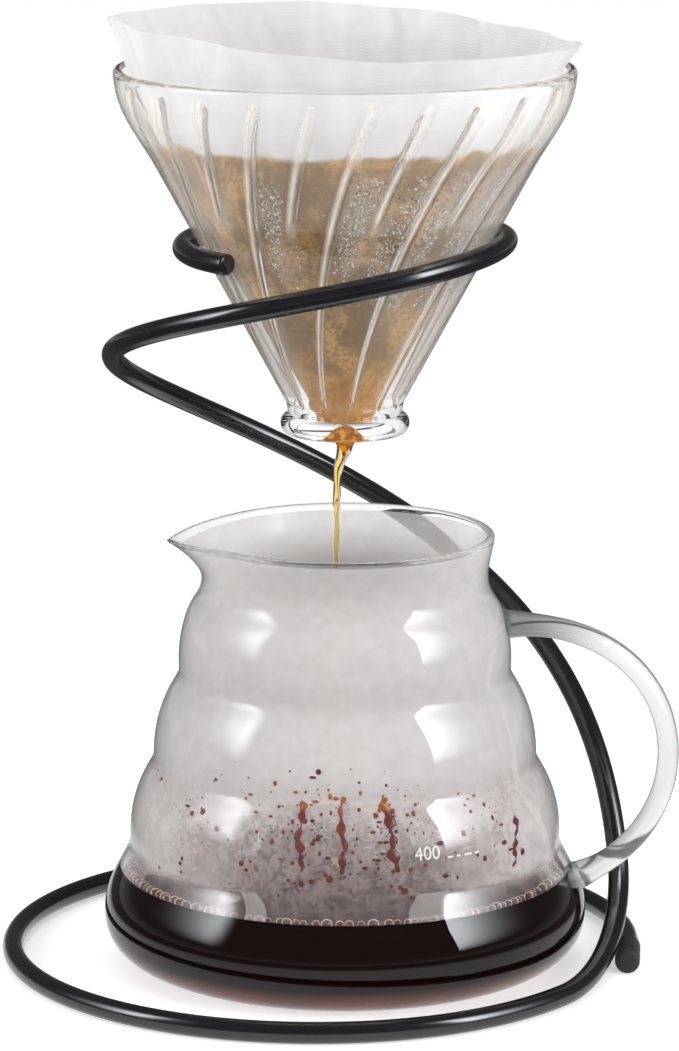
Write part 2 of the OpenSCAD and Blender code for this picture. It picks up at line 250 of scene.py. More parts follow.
def soften(line, step, width):
    """The same profile with points every step and its corners rounded over about that width."""
    run = np.concatenate([[0], np.cumsum(np.linalg.norm(np.diff(line, axis=0), axis=1))])
    at = np.linspace(0, run[-1], max(2, round(run[-1] / step)) + 1)
    even = np.stack([np.interp(at, run, line[:, k]) for k in range(line.shape[1])], -1)
    reach = max(1, round(3 * width / step))
    weight = np.exp(-0.5 * (np.arange(-reach, reach + 1) * step / width) ** 2)
    weight /= weight.sum()
    ends = np.concatenate([2 * even[0] - even[reach:0:-1], even, 2 * even[-1] - even[-2:-reach - 2:-1]])
    return np.stack([np.convolve(ends[:, k], weight, "valid") for k in range(line.shape[1])], -1)


# Meshes and pieces


def mesh_of(name, points, faces, edges=()):
    mesh = bpy.data.meshes.new(name)
    mesh.from_pydata(np.asarray(points).tolist(), edges, faces)
    return mesh


def loft(name, rows, wrap=False):
    """A closed mesh over rows of points. Each row is a closed loop, and open ends get a fan."""
    rows = np.asarray(rows, float)
    m, n, _ = rows.shape
    points = rows.reshape(-1, 3)
    index = np.arange(m * n).reshape(m, n)
    low, high = (index, np.roll(index, -1, 0)) if wrap else (index[:-1], index[1:])
    quads = np.stack([low, np.roll(low, -1, 1), np.roll(high, -1, 1), high], -1).reshape(-1, 4)
    faces = quads.tolist()
    if not wrap:
        points = np.concatenate([points, [rows[0].mean(0), rows[-1].mean(0)]])
        following = np.roll(index, -1, 1).tolist()
        faces += [[m * n, b, a] for a, b in zip(index[0].tolist(), following[0])]
        faces += [[m * n + 1, a, b] for a, b in zip(index[-1].tolist(), following[-1])]
    a, b, c, d = (points[quads[:, k]] for k in range(4))
    volume = np.einsum("ij,ij->", a, np.cross(b, c)) + np.einsum("ij,ij->", a, np.cross(c, d))
    if volume < 0:
        faces = [f[::-1] for f in faces]
    return mesh_of(name, points, faces)


def open_sheet(name, rows):
    """An open mesh over a grid of points."""
    index = np.arange(rows.shape[0] * rows.shape[1]).reshape(rows.shape[:2])
    faces = np.stack([index[:-1, :-1], index[:-1, 1:], index[1:, 1:], index[1:, :-1]], -1).reshape(-1, 4)
    return mesh_of(name, rows.reshape(-1, 3), faces.tolist())


def inner_patch(name, profile, low, high, start, stop, count):
    """An open patch of a turned wall. Returns it with its points' angles from the front and their heights."""
    part = profile[(profile[:, 1] > low) & (profile[:, 1] < high)]
    front = np.linspace(start, stop, count)
    points = turned(part, from_front(front))
    return open_sheet(name, points), np.tile(front, len(part)), points[..., 2].reshape(-1)


def mark(mesh, name, values):
    """Keeps one number for each point of the mesh."""
    values = np.asarray(values, np.float32).reshape(-1)
    mesh.attributes.new(name, "FLOAT", "POINT").data.foreach_set("value", values)


def add_object(mesh, material):
    obj = bpy.data.objects.new(mesh.name, mesh)
    bpy.context.scene.collection.objects.link(obj)
    mesh.materials.clear()
    mesh.materials.append(material)
    return obj


def place(mesh, body, material, nodes=(), sharp=50):
    """Puts a finished mesh into the scene as a piece that moves with a body."""
    if not mesh.polygons:
        raise RuntimeError(f"{mesh.name} has no faces")
    obj = add_object(mesh, material)
    mesh.shade_smooth()
    mesh.set_sharp_from_angle(angle=math.radians(sharp))
    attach(obj, body)
    if nodes:
        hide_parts(*nodes)
    return obj


def bake(mesh, tree, **inputs):
    """Runs a node tree on a mesh and returns the result as a plain mesh of the same name."""
    name = mesh.name
    carrier = bpy.data.objects.new(name, mesh)
    bpy.context.scene.collection.objects.link(carrier)
    modifier = carrier.modifiers.new(tree.name, "NODES")
    modifier.node_group = tree
    for item in tree.interface.items_tree:
        if item.in_out == "INPUT" and item.name in inputs:
            modifier[item.identifier] = inputs[item.name]
    made = bpy.data.meshes.new_from_object(carrier.evaluated_get(bpy.context.evaluated_depsgraph_get()))
    bpy.data.objects.remove(carrier)
    bpy.data.meshes.remove(mesh)
    if not made.polygons:
        raise RuntimeError(f"{name}: the tree {tree.name} made no faces")
    made.name = name
    return made


# Node trees


class Nodes:
    """A node tree with short ways to add to it"""

    def __init__(self, tree):
        self.tree = tree

    def plug(self, value, socket):
        """Links another socket to this one, or gives it a plain value."""
        if isinstance(value, bpy.types.NodeSocket):
            self.tree.links.new(value, socket)
        elif socket.type == "RGBA":
            socket.default_value = (*value, 1)
        else:
            socket.default_value = value

    def add(self, kind, links=None, **settings):
        """A node with its settings made and its sockets set or linked."""
        node = self.tree.nodes.new(kind)
        for key, value in settings.items():
            setattr(node, key, value)
        for key, value in (links or {}).items():
            self.plug(value, node.inputs[key])
        return node

    def calc(self, operation, first, *more):
        """A sum on one or two values, or on more of them from left to right."""
        if not more:
            return self.add("ShaderNodeMath", {0: first}, operation=operation).outputs[0]
        for value in more:
            first = self.add("ShaderNodeMath", {0: first, 1: value}, operation=operation).outputs[0]
        return first

    times = partialmethod(calc, "MULTIPLY")
    over = partialmethod(calc, "DIVIDE")
    plus = partialmethod(calc, "ADD")
    minus = partialmethod(calc, "SUBTRACT")
    larger = partialmethod(calc, "MAXIMUM")

    def ramp(self, value, low, high, to_low=0.0, to_high=1.0):
        """A smooth step from low to high."""
        links = {"Value": value, "From Min": low, "From Max": high, "To Min": to_low, "To Max": to_high}
        return self.add("ShaderNodeMapRange", links, interpolation_type="SMOOTHSTEP").outputs[0]

    def split(self, vector):
        return self.add("ShaderNodeSeparateXYZ", {0: vector}).outputs


class GeometryTree(Nodes):
    """A geometry tree with named inputs of one kind"""

    def __init__(self, name, inputs, kind="NodeSocketFloat"):
        super().__init__(bpy.data.node_groups.new(name, "GeometryNodeTree"))
        for way in ("INPUT", "OUTPUT"):
            self.tree.interface.new_socket("Geometry", in_out=way, socket_type="NodeSocketGeometry")
        for key in inputs:
            self.tree.interface.new_socket(key, in_out="INPUT", socket_type=kind)
        self.given = self.add("NodeGroupInput").outputs

    def attribute(self, name):
        return self.add("GeometryNodeInputNamedAttribute", {"Name": name}, data_type="FLOAT").outputs[0]

    def finish(self, geometry, material):
        """Realizes instances, sets the finish and ends the tree."""
        real = self.add("GeometryNodeRealizeInstances", {"Geometry": geometry})
        done = self.add("GeometryNodeSetMaterial", {"Geometry": real.outputs[0], "Material": material})
        self.add("NodeGroupOutput", {0: done.outputs[0]})
        return self.tree


def sweep_tree(material):
    """A round bar along a line of points, each with its own radius."""
    t = GeometryTree("Swept bar", ["Sides"], "NodeSocketInt")
    line = t.add("GeometryNodeMeshToCurve", {"Mesh": t.given["Geometry"]})
    ring = t.add("GeometryNodeCurvePrimitiveCircle", {"Resolution": t.given["Sides"], "Radius": 1.0})
    bar = t.add("GeometryNodeCurveToMesh", {"Curve": line.outputs[0], "Profile Curve": ring.outputs[0],
                                            "Scale": t.attribute("bar_radius"), "Fill Caps": True})
    return t.finish(bar.outputs[0], material)


def rib_tree(material):
    """Twisted ribs that rise from the inner wall of the cone; every second one is short."""
    t = GeometryTree("Twisted ribs", ("Ribs", "Rib height", "Rib turn", "First rib", "Outlet height",
                                      "Height", "Bowl height", "Short rib"))
    given = t.given
    x, y, z = t.split(t.add("GeometryNodeInputPosition").outputs[0])
    z = t.minus(z, given["Outlet height"])
    twist = t.times(given["Rib turn"], t.over(z, given["Height"]))
    bearing = t.minus(t.calc("ARCTAN2", y, x), t.plus(twist, given["First rib"]))
    turn = t.times(t.over(bearing, math.tau), given["Ribs"])
    nearest = t.calc("ROUND", turn)
    half_width, roundness = 0.2, 1.5
    off = t.over(t.minus(turn, nearest), half_width)
    round_top = t.calc("POWER", t.larger(0.0, t.minus(1.0, t.times(off, off))), roundness)
    odd = t.calc("MODULO", t.calc("ABSOLUTE", nearest), 2.0)
    low = t.ramp(t.minus(z, t.times(odd, given["Short rib"])), 0.0, RIB_START)
    rim_gap, full_below, slimmest = 2 * MM, 7 * MM, 0.3
    high = t.ramp(t.minus(given["Height"], z), rim_gap, full_below)
    slim = t.calc("MINIMUM", 1.0, t.plus(slimmest, t.over(z, given["Bowl height"])))
    rise = t.times(given["Rib height"], round_top, low, high, slim, t.attribute("inner_wall"))
    reach = t.calc("SQRT", t.plus(t.times(x, x), t.times(y, y)))
    back = t.over(t.times(rise, -1.0), t.larger(reach, MM))
    move = t.add("ShaderNodeCombineXYZ", {0: t.times(x, back), 1: t.times(y, back)})
    made = t.add("GeometryNodeSetPosition", {"Geometry": given["Geometry"], "Offset": move.outputs[0]})
    return t.finish(made.outputs[0], material)


def scatter_tree(name, material, flat, seed):
    """Small round drops scattered over a surface, as densely as its spread attribute says."""
    t = GeometryTree(name, ("Density", "Apart", "Smallest", "Largest", "Uneven"))
    given = t.given
    spots = t.add("GeometryNodeDistributePointsOnFaces", {
        "Mesh": given["Geometry"], "Distance Min": given["Apart"], "Density Max": given["Density"],
        "Density Factor": t.attribute("spread"), "Seed": seed}, distribute_method="POISSON")
    ball = t.add("GeometryNodeMeshUVSphere", {"Segments": 8, "Rings": 5, "Radius": 1.0})
    drop = t.add("GeometryNodeTransform", {"Geometry": ball.outputs[0], "Scale": (1.0, 1.0, flat)})
    smooth = t.add("GeometryNodeSetShadeSmooth", {"Geometry": drop.outputs[0]})
    chance = t.add("FunctionNodeRandomValue", {"Seed": seed + 1}, data_type="FLOAT")
    small = t.calc("POWER", chance.outputs[1], 2.0)
    size = t.add("ShaderNodeMapRange", {"Value": small, "To Min": given["Smallest"],
                                        "To Max": given["Largest"]})
    shape = t.add("FunctionNodeRandomValue", {0: (-1, -1, -1), 1: (1, 1, 1), "Seed": seed + 2},
                  data_type="FLOAT_VECTOR")
    uneven = t.add("ShaderNodeVectorMath", {0: shape.outputs[0], 1: given["Uneven"], 2: (1, 1, 1)},
                   operation="MULTIPLY_ADD")
    scale = t.add("ShaderNodeVectorMath", {0: uneven.outputs[0], "Scale": size.outputs[0]}, operation="SCALE")
    drops = t.add("GeometryNodeInstanceOnPoints", {
        "Points": spots.outputs[0], "Instance": smooth.outputs[0], "Rotation": spots.outputs["Rotation"],
        "Scale": scale.outputs[0]})
    return t.finish(drops.outputs[0], material)


def scatter(carrier, spread, body, slot, material, label, flat, seed, **inputs):
    """Scatters drops over a carrier and places them as one piece."""
    mark(carrier, "spread", spread)
    place(bake(carrier, scatter_tree(label, material, flat, seed), **inputs), body, material)


# Finishes


class Finish(Nodes):
    """A new finish: its material, its nodes and its shader"""

    def __init__(self, name, base, roughness, **sockets):
        self.material = bpy.data.materials.new(name)
        self.material.use_nodes = True
        super().__init__(self.material.node_tree)
        self.shader = self.tree.nodes["Principled BSDF"]
        self.set(Base_Color=base, Roughness=roughness, **sockets)

    def set(self, **sockets):
        for key, value in sockets.items():
            self.plug(value, self.shader.inputs[key.replace("_", " ")])

    def where(self):
        """Where a point lies, in the object's own space."""
        return self.add("ShaderNodeTexCoord").outputs["Object"]

    def height(self):
        return self.split(self.where())[2]

    def slant(self):
        """How far a surface is turned away from the eye."""
        return self.add("ShaderNodeLayerWeight", {"Blend": 0.5}).outputs["Facing"]

    def attribute(self, name):
        return self.add("ShaderNodeAttribute", attribute_name=name).outputs["Fac"]

    def noise(self, scale, detail=3.0, stretch=(1, 1, 1), distortion=0.0):
        at = self.add("ShaderNodeMapping", {"Vector": self.where(), "Scale": stretch}).outputs[0]
        links = {"Vector": at, "Scale": scale, "Detail": detail, "Distortion": distortion}
        return self.add("ShaderNodeTexNoise", links).outputs["Fac"]

    def patches(self, scale, detail, low, high, most=1.0, stretch=(1, 1, 1), distortion=0.0):
        """Patches of noise, which cover what is under them by the given share at most."""
        return self.ramp(self.noise(scale, detail, stretch, distortion), low, high, 0.0, most)

    def unsteady(self, scale, reach):
        """The height, shifted up and down by noise over the given reach."""
        return self.plus(self.height(), self.times(self.minus(self.noise(scale, 3), 0.5), reach))

    def mix(self, factor, a, b):
        """A blend of two colours."""
        return self.add("ShaderNodeMix", {0: factor, 6: a, 7: b}, data_type="RGBA").outputs[2]

    def bump(self, height, strength, distance):
        node = self.add("ShaderNodeBump", {"Height": height, "Strength": strength, "Distance": distance})
        self.set(Normal=node.outputs[0])

    def blend(self, factor, a, b):
        """A blend of two shaders."""
        return self.add("ShaderNodeMixShader", {0: factor, 1: a, 2: b}).outputs[0]

    def clear(self):
        return self.add("ShaderNodeBsdfTransparent").outputs[0]

    def shine(self, strength, tone=(1, 1, 1)):
        return self.add("ShaderNodeEmission", {"Color": tone, "Strength": strength}).outputs[0]

    def glowing(self, tone, amount):
        """The shader, with some light let through from behind."""
        glow = self.add("ShaderNodeBsdfTranslucent", {"Color": tone})
        return self.blend(amount, self.shader.outputs[0], glow.outputs[0])

    def show(self, shader):
        self.plug(shader, self.tree.nodes["Material Output"].inputs["Surface"])

    def pass_light(self):
        """Lets lamps shine through, so that glass casts no dark shadow."""
        shadow = self.add("ShaderNodeLightPath").outputs["Is Shadow Ray"]
        self.show(self.blend(shadow, self.shader.outputs[0], self.clear()))


def two_tone(name, base, roughness, scale, detail, dark, light, **sockets):
    """A finish in two tones that run into each other."""
    f = Finish(name, base, roughness, **sockets)
    f.set(Base_Color=f.mix(f.noise(scale, detail), dark, light))
    return f


def rod_finish(rod):
    black = np.array(rod.black)
    f = Finish("Satin black coat", black, 0.16, Specular_IOR_Level=0.9)
    patches = f.noise(90, 2)
    f.set(Base_Color=f.mix(patches, black, 1.35 * black), Roughness=f.ramp(patches, 0.3, 0.7, 0.13, 0.19))
    f.bump(f.noise(2600, 2), 0.12, 0.00006)
    return f.material


def rubber_finish():
    f = two_tone("Soft black rubber", (0.02, 0.02, 0.021), 0.62, scale=300, detail=3,
                 dark=(0.016, 0.016, 0.017), light=(0.03, 0.03, 0.031))
    f.bump(f.noise(1800, 2), 0.2, 0.0001)
    return f.material


def froth_finish():
    return two_tone("Tan froth", (0.5, 0.31, 0.19), 0.12, scale=900, detail=2, dark=(0.2, 0.09, 0.045),
                    light=(0.78, 0.55, 0.38), IOR=COFFEE_IOR).material


def print_finish():
    return two_tone("White print", (0.9, 0.9, 0.9), 0.6, scale=900, detail=2, dark=(0.62, 0.6, 0.6),
                    light=(0.8, 0.78, 0.78)).material


def glass_finish(name, wave, scale, edge, roughness=0.0, face=1.0, clear=1.0, arm_shade=0.0):
    """Glass that goes from the face grey to the edge colour at a slant, as painted shade for the dark
    surroundings its edges show, with a greyer arm as painted shade of the dark rod seen through it, if that
    share is given.
    """
    grey = (face, face, face)
    f = Finish(name, grey, roughness, Transmission_Weight=clear, IOR=1.47)
    # Painted shade: the glass greys towards the edge colour as it turns away from the eye.
    tone = f.mix(f.ramp(f.slant(), 0.5, 0.97), grey, edge)
    # Painted shade: the handle's arm near its upper joint greys, standing in for the dark rod and server seen
    # through it.
    if arm_shade:
        arm_shade_grey = (0.2, 0.2, 0.205)
        x, _, z = f.split(f.where())
        arm = f.times(f.ramp(x, 70 * MM, 44 * MM), f.ramp(z, 60 * MM, 78 * MM))
        tone = f.mix(f.times(arm, arm_shade), tone, arm_shade_grey)
    f.set(Base_Color=tone)
    f.bump(f.noise(scale, 0, (1, 1, 0.35)), 0.2, wave)
    f.pass_light()
    return f.material


def paper_finish(paper, outlet):
    """Crepe paper: dry and pale at the top, stained where it is wet and there paler at the left as a painted
    reflection, amber at the tip.
    """
    dry, brown = np.array(paper.dry), np.array(paper.wet)
    cream, ochre = (0.9, 0.72, 0.53), (0.56, 0.27, 0.06)
    dark_amber, bright_amber = (0.34, 0.1, 0.008), (0.95, 0.42, 0.025)
    f = Finish("Crepe filter paper", dry, 0.85, Specular_IOR_Level=0.2)
    x, _, z = f.split(f.where())
    line = outlet + paper.wet_line
    wet = f.ramp(f.unsteady(70, 5 * MM), line + 0.9 * MM, line - 0.9 * MM)
    stain_and_painted_light = f.mix(f.patches(42, 4, 0.4, 0.64, 1.0, (1, 1, 0.55), 0.8), 0.8 * brown, 1.4 * brown)
    # Painted reflection: the wet part turns paler towards the left, standing in for the glass's reflection
    # and haze there.
    stain_and_painted_light = f.mix(f.ramp(x, -14 * MM, -34 * MM, 0.0, 0.6), stain_and_painted_light, 1.55 * brown + [0.0, 0.05, 0.09])
    for scale, stretch, low, high, most, depth in ((95, (1, 1, 0.45), 0.46, 0.58, 0.85, 0.46),
                                                   (36, (0.4, 0.4, 1.9), 0.46, 0.6, 0.7, 0.5),
                                                   (900, (1, 1, 1), 0.48, 0.6, 0.6, 0.36)):
        stain_and_painted_light = f.mix(f.patches(scale, 4, low, high, most, stretch, 0.5), stain_and_painted_light, depth * brown)
    amber = f.mix(f.patches(420, 3, 0.42, 0.6), dark_amber, bright_amber)
    for begin, full, most, tone in ((50, 62, 0.16, cream), (30, 6, 0.7, ochre), (8, 1, 1.0, amber)):
        stain_and_painted_light = f.mix(f.ramp(z, outlet + begin * MM, outlet + full * MM, 0.0, most), stain_and_painted_light, tone)
    streaks = f.patches(130, 3, 0.4, 0.62, 1.0, (1, 1, 0.05))
    tone = f.mix(wet, f.mix(streaks, 0.94 * dry, dry), stain_and_painted_light)
    f.set(Base_Color=tone, Roughness=f.ramp(wet, 0, 1, 0.85, 0.45))
    crepe = f.add("ShaderNodeTexWave", {"Vector": f.where(), "Scale": 420.0, "Distortion": 6.0,
                                        "Detail": 3.0}, wave_type="BANDS", bands_direction="Z")
    f.bump(crepe.outputs["Fac"], 0.25, 0.00012)
    f.show(f.glowing(tone, 0.25))
    return f.material


def grounds_finish(paper):
    f = Finish("Wet coffee grounds", paper.grounds, 0.35)
    tan = (0.36, 0.2, 0.095)
    froth = f.patches(130, 5, 0.45, 0.6, distortion=0.8)
    f.set(Base_Color=f.mix(froth, paper.grounds, tan), Roughness=f.ramp(froth, 0, 1, 0.25, 0.6))
    f.bump(f.noise(700, 3), 0.6, 0.0004)
    return f.material


def coffee_finish(server):
    """Black coffee with a red foot, glossy on its upper surface only."""
    red = (0.33, 0.1, 0.06)
    f = Finish("Black coffee", server.brew, 0.04, IOR=COFFEE_IOR)
    up = f.split(f.add("ShaderNodeNewGeometry").outputs["Normal"])[2]
    thin = f.ramp(f.height(), server.bottom + 6 * MM, server.bottom + 1 * MM)
    foot = f.times(thin, f.ramp(f.noise(60, 2), 0.3, 0.7, 0.6, 1.0))
    f.set(Base_Color=f.mix(foot, server.brew, red), Specular_IOR_Level=f.ramp(up, 0.65, 0.9, 0.0, 0.5))
    return f.material


def steam_finish(server):
    """Steam, thin above the coffee and brown there, partly splash stain and partly painted reflection of the
    coffee, and thicker where it is seen at a slant.
    """
    # Painted reflection: the brown tones low on the wall are partly splash stain and partly stand in for the
    # coffee reflected in the steam.
    stain_and_painted_light, pale_stain_and_reflection = (0.3, 0.175, 0.165), (0.6, 0.44, 0.42)
    speck, spot = (0.8, 0.68, 0.655), (0.1, 0.045, 0.045)
    f = Finish("Steamed-up wall", server.steam, 0.55)
    z, low, rim = f.height(), server.coffee, server.height
    side = f.times(f.ramp(f.slant(), 0.05, 0.2), f.ramp(z, low + 2.5 * MM, low + 8 * MM))
    high = f.larger(f.ramp(f.unsteady(45, 16 * MM), 33 * MM, 60 * MM), f.times(side, 0.8))
    tone = f.mix(f.patches(330, 4, 0.4, 0.62, 1.0, (1, 1, 0.7)), stain_and_painted_light, pale_stain_and_reflection)
    tone = f.mix(f.patches(900, 2, 0.5, 0.62, 0.6), tone, speck)
    tone = f.mix(f.patches(620, 3, 0.58, 0.66, 0.8), tone, spot)
    tone = f.mix(high, tone, server.steam)
    f.set(Base_Color=tone)
    start = f.larger(f.ramp(z, low + 1 * MM, low + 13 * MM, 0.3, 1.0), side)
    stop = f.ramp(z, rim - 2 * MM, rim - 15 * MM, 0.52, 1.0)
    grain = f.ramp(f.noise(260, 4), 0.3, 0.7, 0.92, 1.04)
    cover = f.times(start, f.times(grain, stop), f.ramp(high, 0, 1, 0.22, 0.72))
    f.show(f.blend(cover, f.clear(), f.glowing(tone, 0.35)))
    return f.material


def mist_and_painted_light_finish():
    """Pale mist, with painted highlights along the ribs and painted shade in brown lines beside them, and
    browner at a slant over the wet paper as painted reflection, as thick as its attributes say.
    """
    cream, brown = (0.97, 0.91, 0.82), (0.09, 0.045, 0.02)
    f = Finish("Mist on the dripper", cream, 0.5)
    wet, slant = f.attribute("wet"), f.ramp(f.slant(), 0.135, 0.255)
    haze = f.times(slant, f.ramp(wet, 0, 1, 0.12, 0.24))
    # Painted reflection: over the wet part the film turns brown at a slant, standing in for the wet paper
    # that the ribs and glass show.
    shade = f.larger(f.attribute("shade"), f.times(slant, f.ramp(wet, 0, 1, 0.0, 0.36)))
    tone = f.mix(shade, cream, brown)
    f.set(Base_Color=tone)
    patchy = f.ramp(f.noise(220, 3, (1, 1, 0.4)), 0.3, 0.7, 0.7, 1.1)
    # The cover along the ribs is painted highlight and painted shade; the rest is mist.
    cover = f.times(f.plus(f.attribute("mist_and_painted_light"), haze), patchy)
    f.show(f.blend(cover, f.clear(), f.glowing(tone, 0.3)))
    return f.material


def dew_finish():
    f = Finish("Milky dew", (0.95, 0.94, 0.92), 0.06, Transmission_Weight=0.5, IOR=1.33)
    grey, white, brown = (0.8, 0.78, 0.75), (1.0, 1.0, 1.0), (0.2, 0.13, 0.09)
    # Painted glint: the drops are milky white with grey, standing in for the bright glints of clear water.
    painted_glint = f.mix(f.noise(500, 2), grey, white)
    f.set(Base_Color=f.mix(f.patches(1300, 0, 0.54, 0.6, 0.85), painted_glint, brown))
    f.pass_light()
    return f.material


def splash_finish():
    dark, red, amber = (0.02, 0.007, 0.006), (0.2, 0.042, 0.028), (0.3, 0.09, 0.02)
    f = Finish("Coffee splashes", (0.05, 0.014, 0.009), 0.08, IOR=COFFEE_IOR)
    level = f.plus(f.height(), f.times(f.noise(170, 2), 8 * MM))
    brown = f.mix(f.noise(260, 2), dark, red)
    bright = f.times(f.ramp(level, 53 * MM, 57 * MM), f.ramp(level, 62 * MM, 60 * MM))
    f.set(Base_Color=f.mix(bright, brown, amber))
    return f.material


def bubble_finish():
    """Bubbles with pale rims, a painted highlight, over the dark coffee."""
    dark, tan, cream = (0.05, 0.011, 0.008), (0.5, 0.3, 0.23), (0.92, 0.78, 0.7)
    f = Finish("Coffee bubbles", (0.8, 0.68, 0.58), 0.1, IOR=COFFEE_IOR)
    rim_highlight = f.mix(f.noise(700, 2), tan, cream)
    # Painted highlight: the bubbles turn pale where their surface turns away from the eye, dark where it
    # faces it.
    f.set(Base_Color=f.mix(f.ramp(f.slant(), 0.3, 0.62), dark, rim_highlight))
    return f.material


def amber_finish(amber):
    edge = (0.4, 0.16, 0.015)
    f = Finish("Running coffee", amber, 0.02, Transmission_Weight=1.0, IOR=COFFEE_IOR)
    # Painted shade: the stream darkens to the edge colour where its surface turns away from the eye.
    f.set(Base_Color=f.mix(f.ramp(f.slant(), 0.25, 0.85), amber, edge))
    f.pass_light()
    return f.material


# Shapes of this set


def outlet_height(settings):
    """The height at which the cone's outlet lies when the cone rests on the ring."""
    rod, dripper = settings.rod, settings.dripper
    slope = math.tan(dripper.cone_angle)
    seat = (rod.diameter / 2 + dripper.seat_gap) / math.cos(dripper.cone_angle)
    return rod.ring_height - dripper.neck_height - (rod.ring_radius - seat - dripper.neck_radius) / slope


def loose_end(rod):
    """The base loop's line as a function of the angle, its straight capped end and that end's direction."""
    middle = np.array([rod.base_x, rod.base_y, 0])
    bar, cap = rod.diameter / 2, rod.cap_diameter / 2
    start, span = LOOP_START, 95
    tuck_start, tuck_span = 280, 60

    def loop(a):
        a = np.asarray(a, float)
        loose = 1 - ease((a - start) / span)
        tucked = rod.tuck * ease((a - tuck_start) / tuck_span)
        r = rod.base_radius + (bar + cap - rod.lean) * loose - tucked
        return middle + polar(r, np.radians(a), bar + (cap - bar) * loose)

    way = loop(start) - loop(start + 0.1)
    way[2] = 0
    way = unit(way)
    return loop, loop(start) + way * rod.cap_length, way


def rod_line(rod):
    """The rod's middle line: the capped end, base loop, bend, riser and ring."""
    loop, end, _ = loose_end(rod)
    middle = np.array([rod.base_x, rod.base_y, 0])
    bar = rod.diameter / 2
    riser_start, riser_turn = 361, 359

    def riser(t):
        t = np.atleast_1d(np.asarray(t, float))[:, None]
        r = rod.ring_radius + (rod.base_radius - rod.ring_radius) * (1 - t) ** rod.narrowing
        z = bar + (rod.ring_height - bar) * (1 - (1 - t) ** 2) ** rod.climb
        a = np.radians(riser_start + riser_turn * t)
        return middle * (1 - t) ** rod.centring + polar(r, a, z)[:, 0]

    first, last = 0.013, 322.5
    p, q = loop(last), riser(first)[0]
    p_way, q_way = unit(p - loop(last - 0.1)), unit(riser(first + 0.0005)[0] - q)
    steps = np.linspace(0, 1, 181)[1:]
    stop = math.degrees(rod.ring_stop)
    ring = np.radians(np.append(np.arange(2, stop - 1, 2), stop))
    return np.concatenate([
        [end], loop(np.arange(LOOP_START, last - 1, 2.5)), [p],
        bezier([p, p + p_way * rod.lead_in, q - q_way * rod.lead_out, q], 36, 1),
        riser(first + (1 - first) * steps ** 1.5),
        polar(rod.ring_radius, ring, rod.ring_height - rod.ring_sag * ease(ring / rod.ring_stop))])


def dripper_side(dripper):
    """The dripper's outer wall, from the neck up to the rim, above its outlet."""
    slope = math.tan(dripper.cone_angle)
    neck = np.array([dripper.neck_radius, dripper.neck_height])
    bowl = np.array([neck[0] + (dripper.bowl_height - neck[1]) * slope, dripper.bowl_height])
    rim = np.array([dripper.rim_radius, dripper.height - dripper.wall / 2])
    rise = dripper.height - dripper.bowl_height
    cone = neck + (bowl - neck) * np.linspace(0, 1, 40)[:-1, None]
    return np.concatenate([cone, bezier([bowl, bowl + np.array([slope, 1]) * rise * 0.36,
                                         rim - np.array([0.5 * MM, rise * 0.4]), rim], 26)])


def paper_profile(paper, dripper):
    """The paper's outer line above the outlet, and its thickness measured level."""
    inside = inset(dripper_side(dripper), dripper.wall)
    cone_in = np.interp(dripper.bowl_height, inside[:, 1], inside[:, 0])
    tip, room = 1.2 * MM, 0.3 * MM
    cone = cone_in - dripper.rib_height - room - paper.thickness
    rim = inside[-1, 0] - room - paper.thickness - 1.5 * paper.wave_height
    rise = dripper.height - dripper.bowl_height
    line = np.array([[tip, -paper.tip_drop], [cone, dripper.bowl_height],
                     [cone + (rim - cone) * 0.6, dripper.bowl_height + rise / 2], [rim, dripper.height - MM],
                     [(rim + paper.edge_radius) / 2, dripper.height + paper.proud / 2],
                     [paper.edge_radius, dripper.height + paper.proud]])
    slope = (cone - tip) / (dripper.bowl_height + paper.tip_drop)
    return soften(line, 1.5 * MM, 1.6 * MM), paper.thickness * math.hypot(slope, 1)


def paper_rows(line, angles, paper, dripper, fold):
    """Rows round the paper: waves and pleats grow towards the edge, which stands higher at the left."""
    r, z = line[:, 0, None], line[:, 1, None]
    a = angles[None] - math.radians(60)
    grow = ease((z - dripper.bowl_height) / (dripper.height - dripper.bowl_height + paper.proud))
    over = np.clip((z - dripper.height + MM) / (paper.proud + MM), 0, None)
    wave = np.cos(paper.waves * a) + 0.35 * np.cos(5 * a)
    pleat = 0.3 * np.abs(np.sin(7.5 * a + 0.8 * np.sin(3 * a))) ** 6
    pleat = pleat + 0.12 * np.sin(31 * a + 4 * np.sin(2 * a))
    seam = fold * ease((a % math.tau) / 0.02) * (1 - ease((a % math.tau - paper.seam) / 0.02))
    out = paper.wave_height * grow * (wave - pleat) + seam * (r > 2 * MM)
    rise = paper.wave_height * grow * (np.sin(3 * a) + 0.3 * np.sin(11 * a))
    rise = rise - paper.edge_tilt * over * np.cos(angles[None])
    for crease in (20, 48, 71, 90, 107, 121, 146, 188, 233, 262, 305, 338):
        path = np.radians(crease + 5 * over)
        out = out - 0.55 * MM * ease(1.5 * over) * around(angles[None], path, 0.02)
    return polar(r + out, angles[None], z + rise)


def dew_patches(front, level):
    """Where the dripper is bedewed, by the angle from the front in degrees and the height in millimetres."""
    front = (np.asarray(front) + 180) % 360 - 180
    spots = ((1.0, 5, 9, 57, 13), (1.0, 33, 12, 55, 17), (1.0, 57, 14, 58, 17), (0.8, -25, 6, 54, 14),
             (0.6, 22, 8, 38, 10))
    return sum(much * around(front, a, da) * around(level, h, dh) for much, a, da, h, dh in spots)


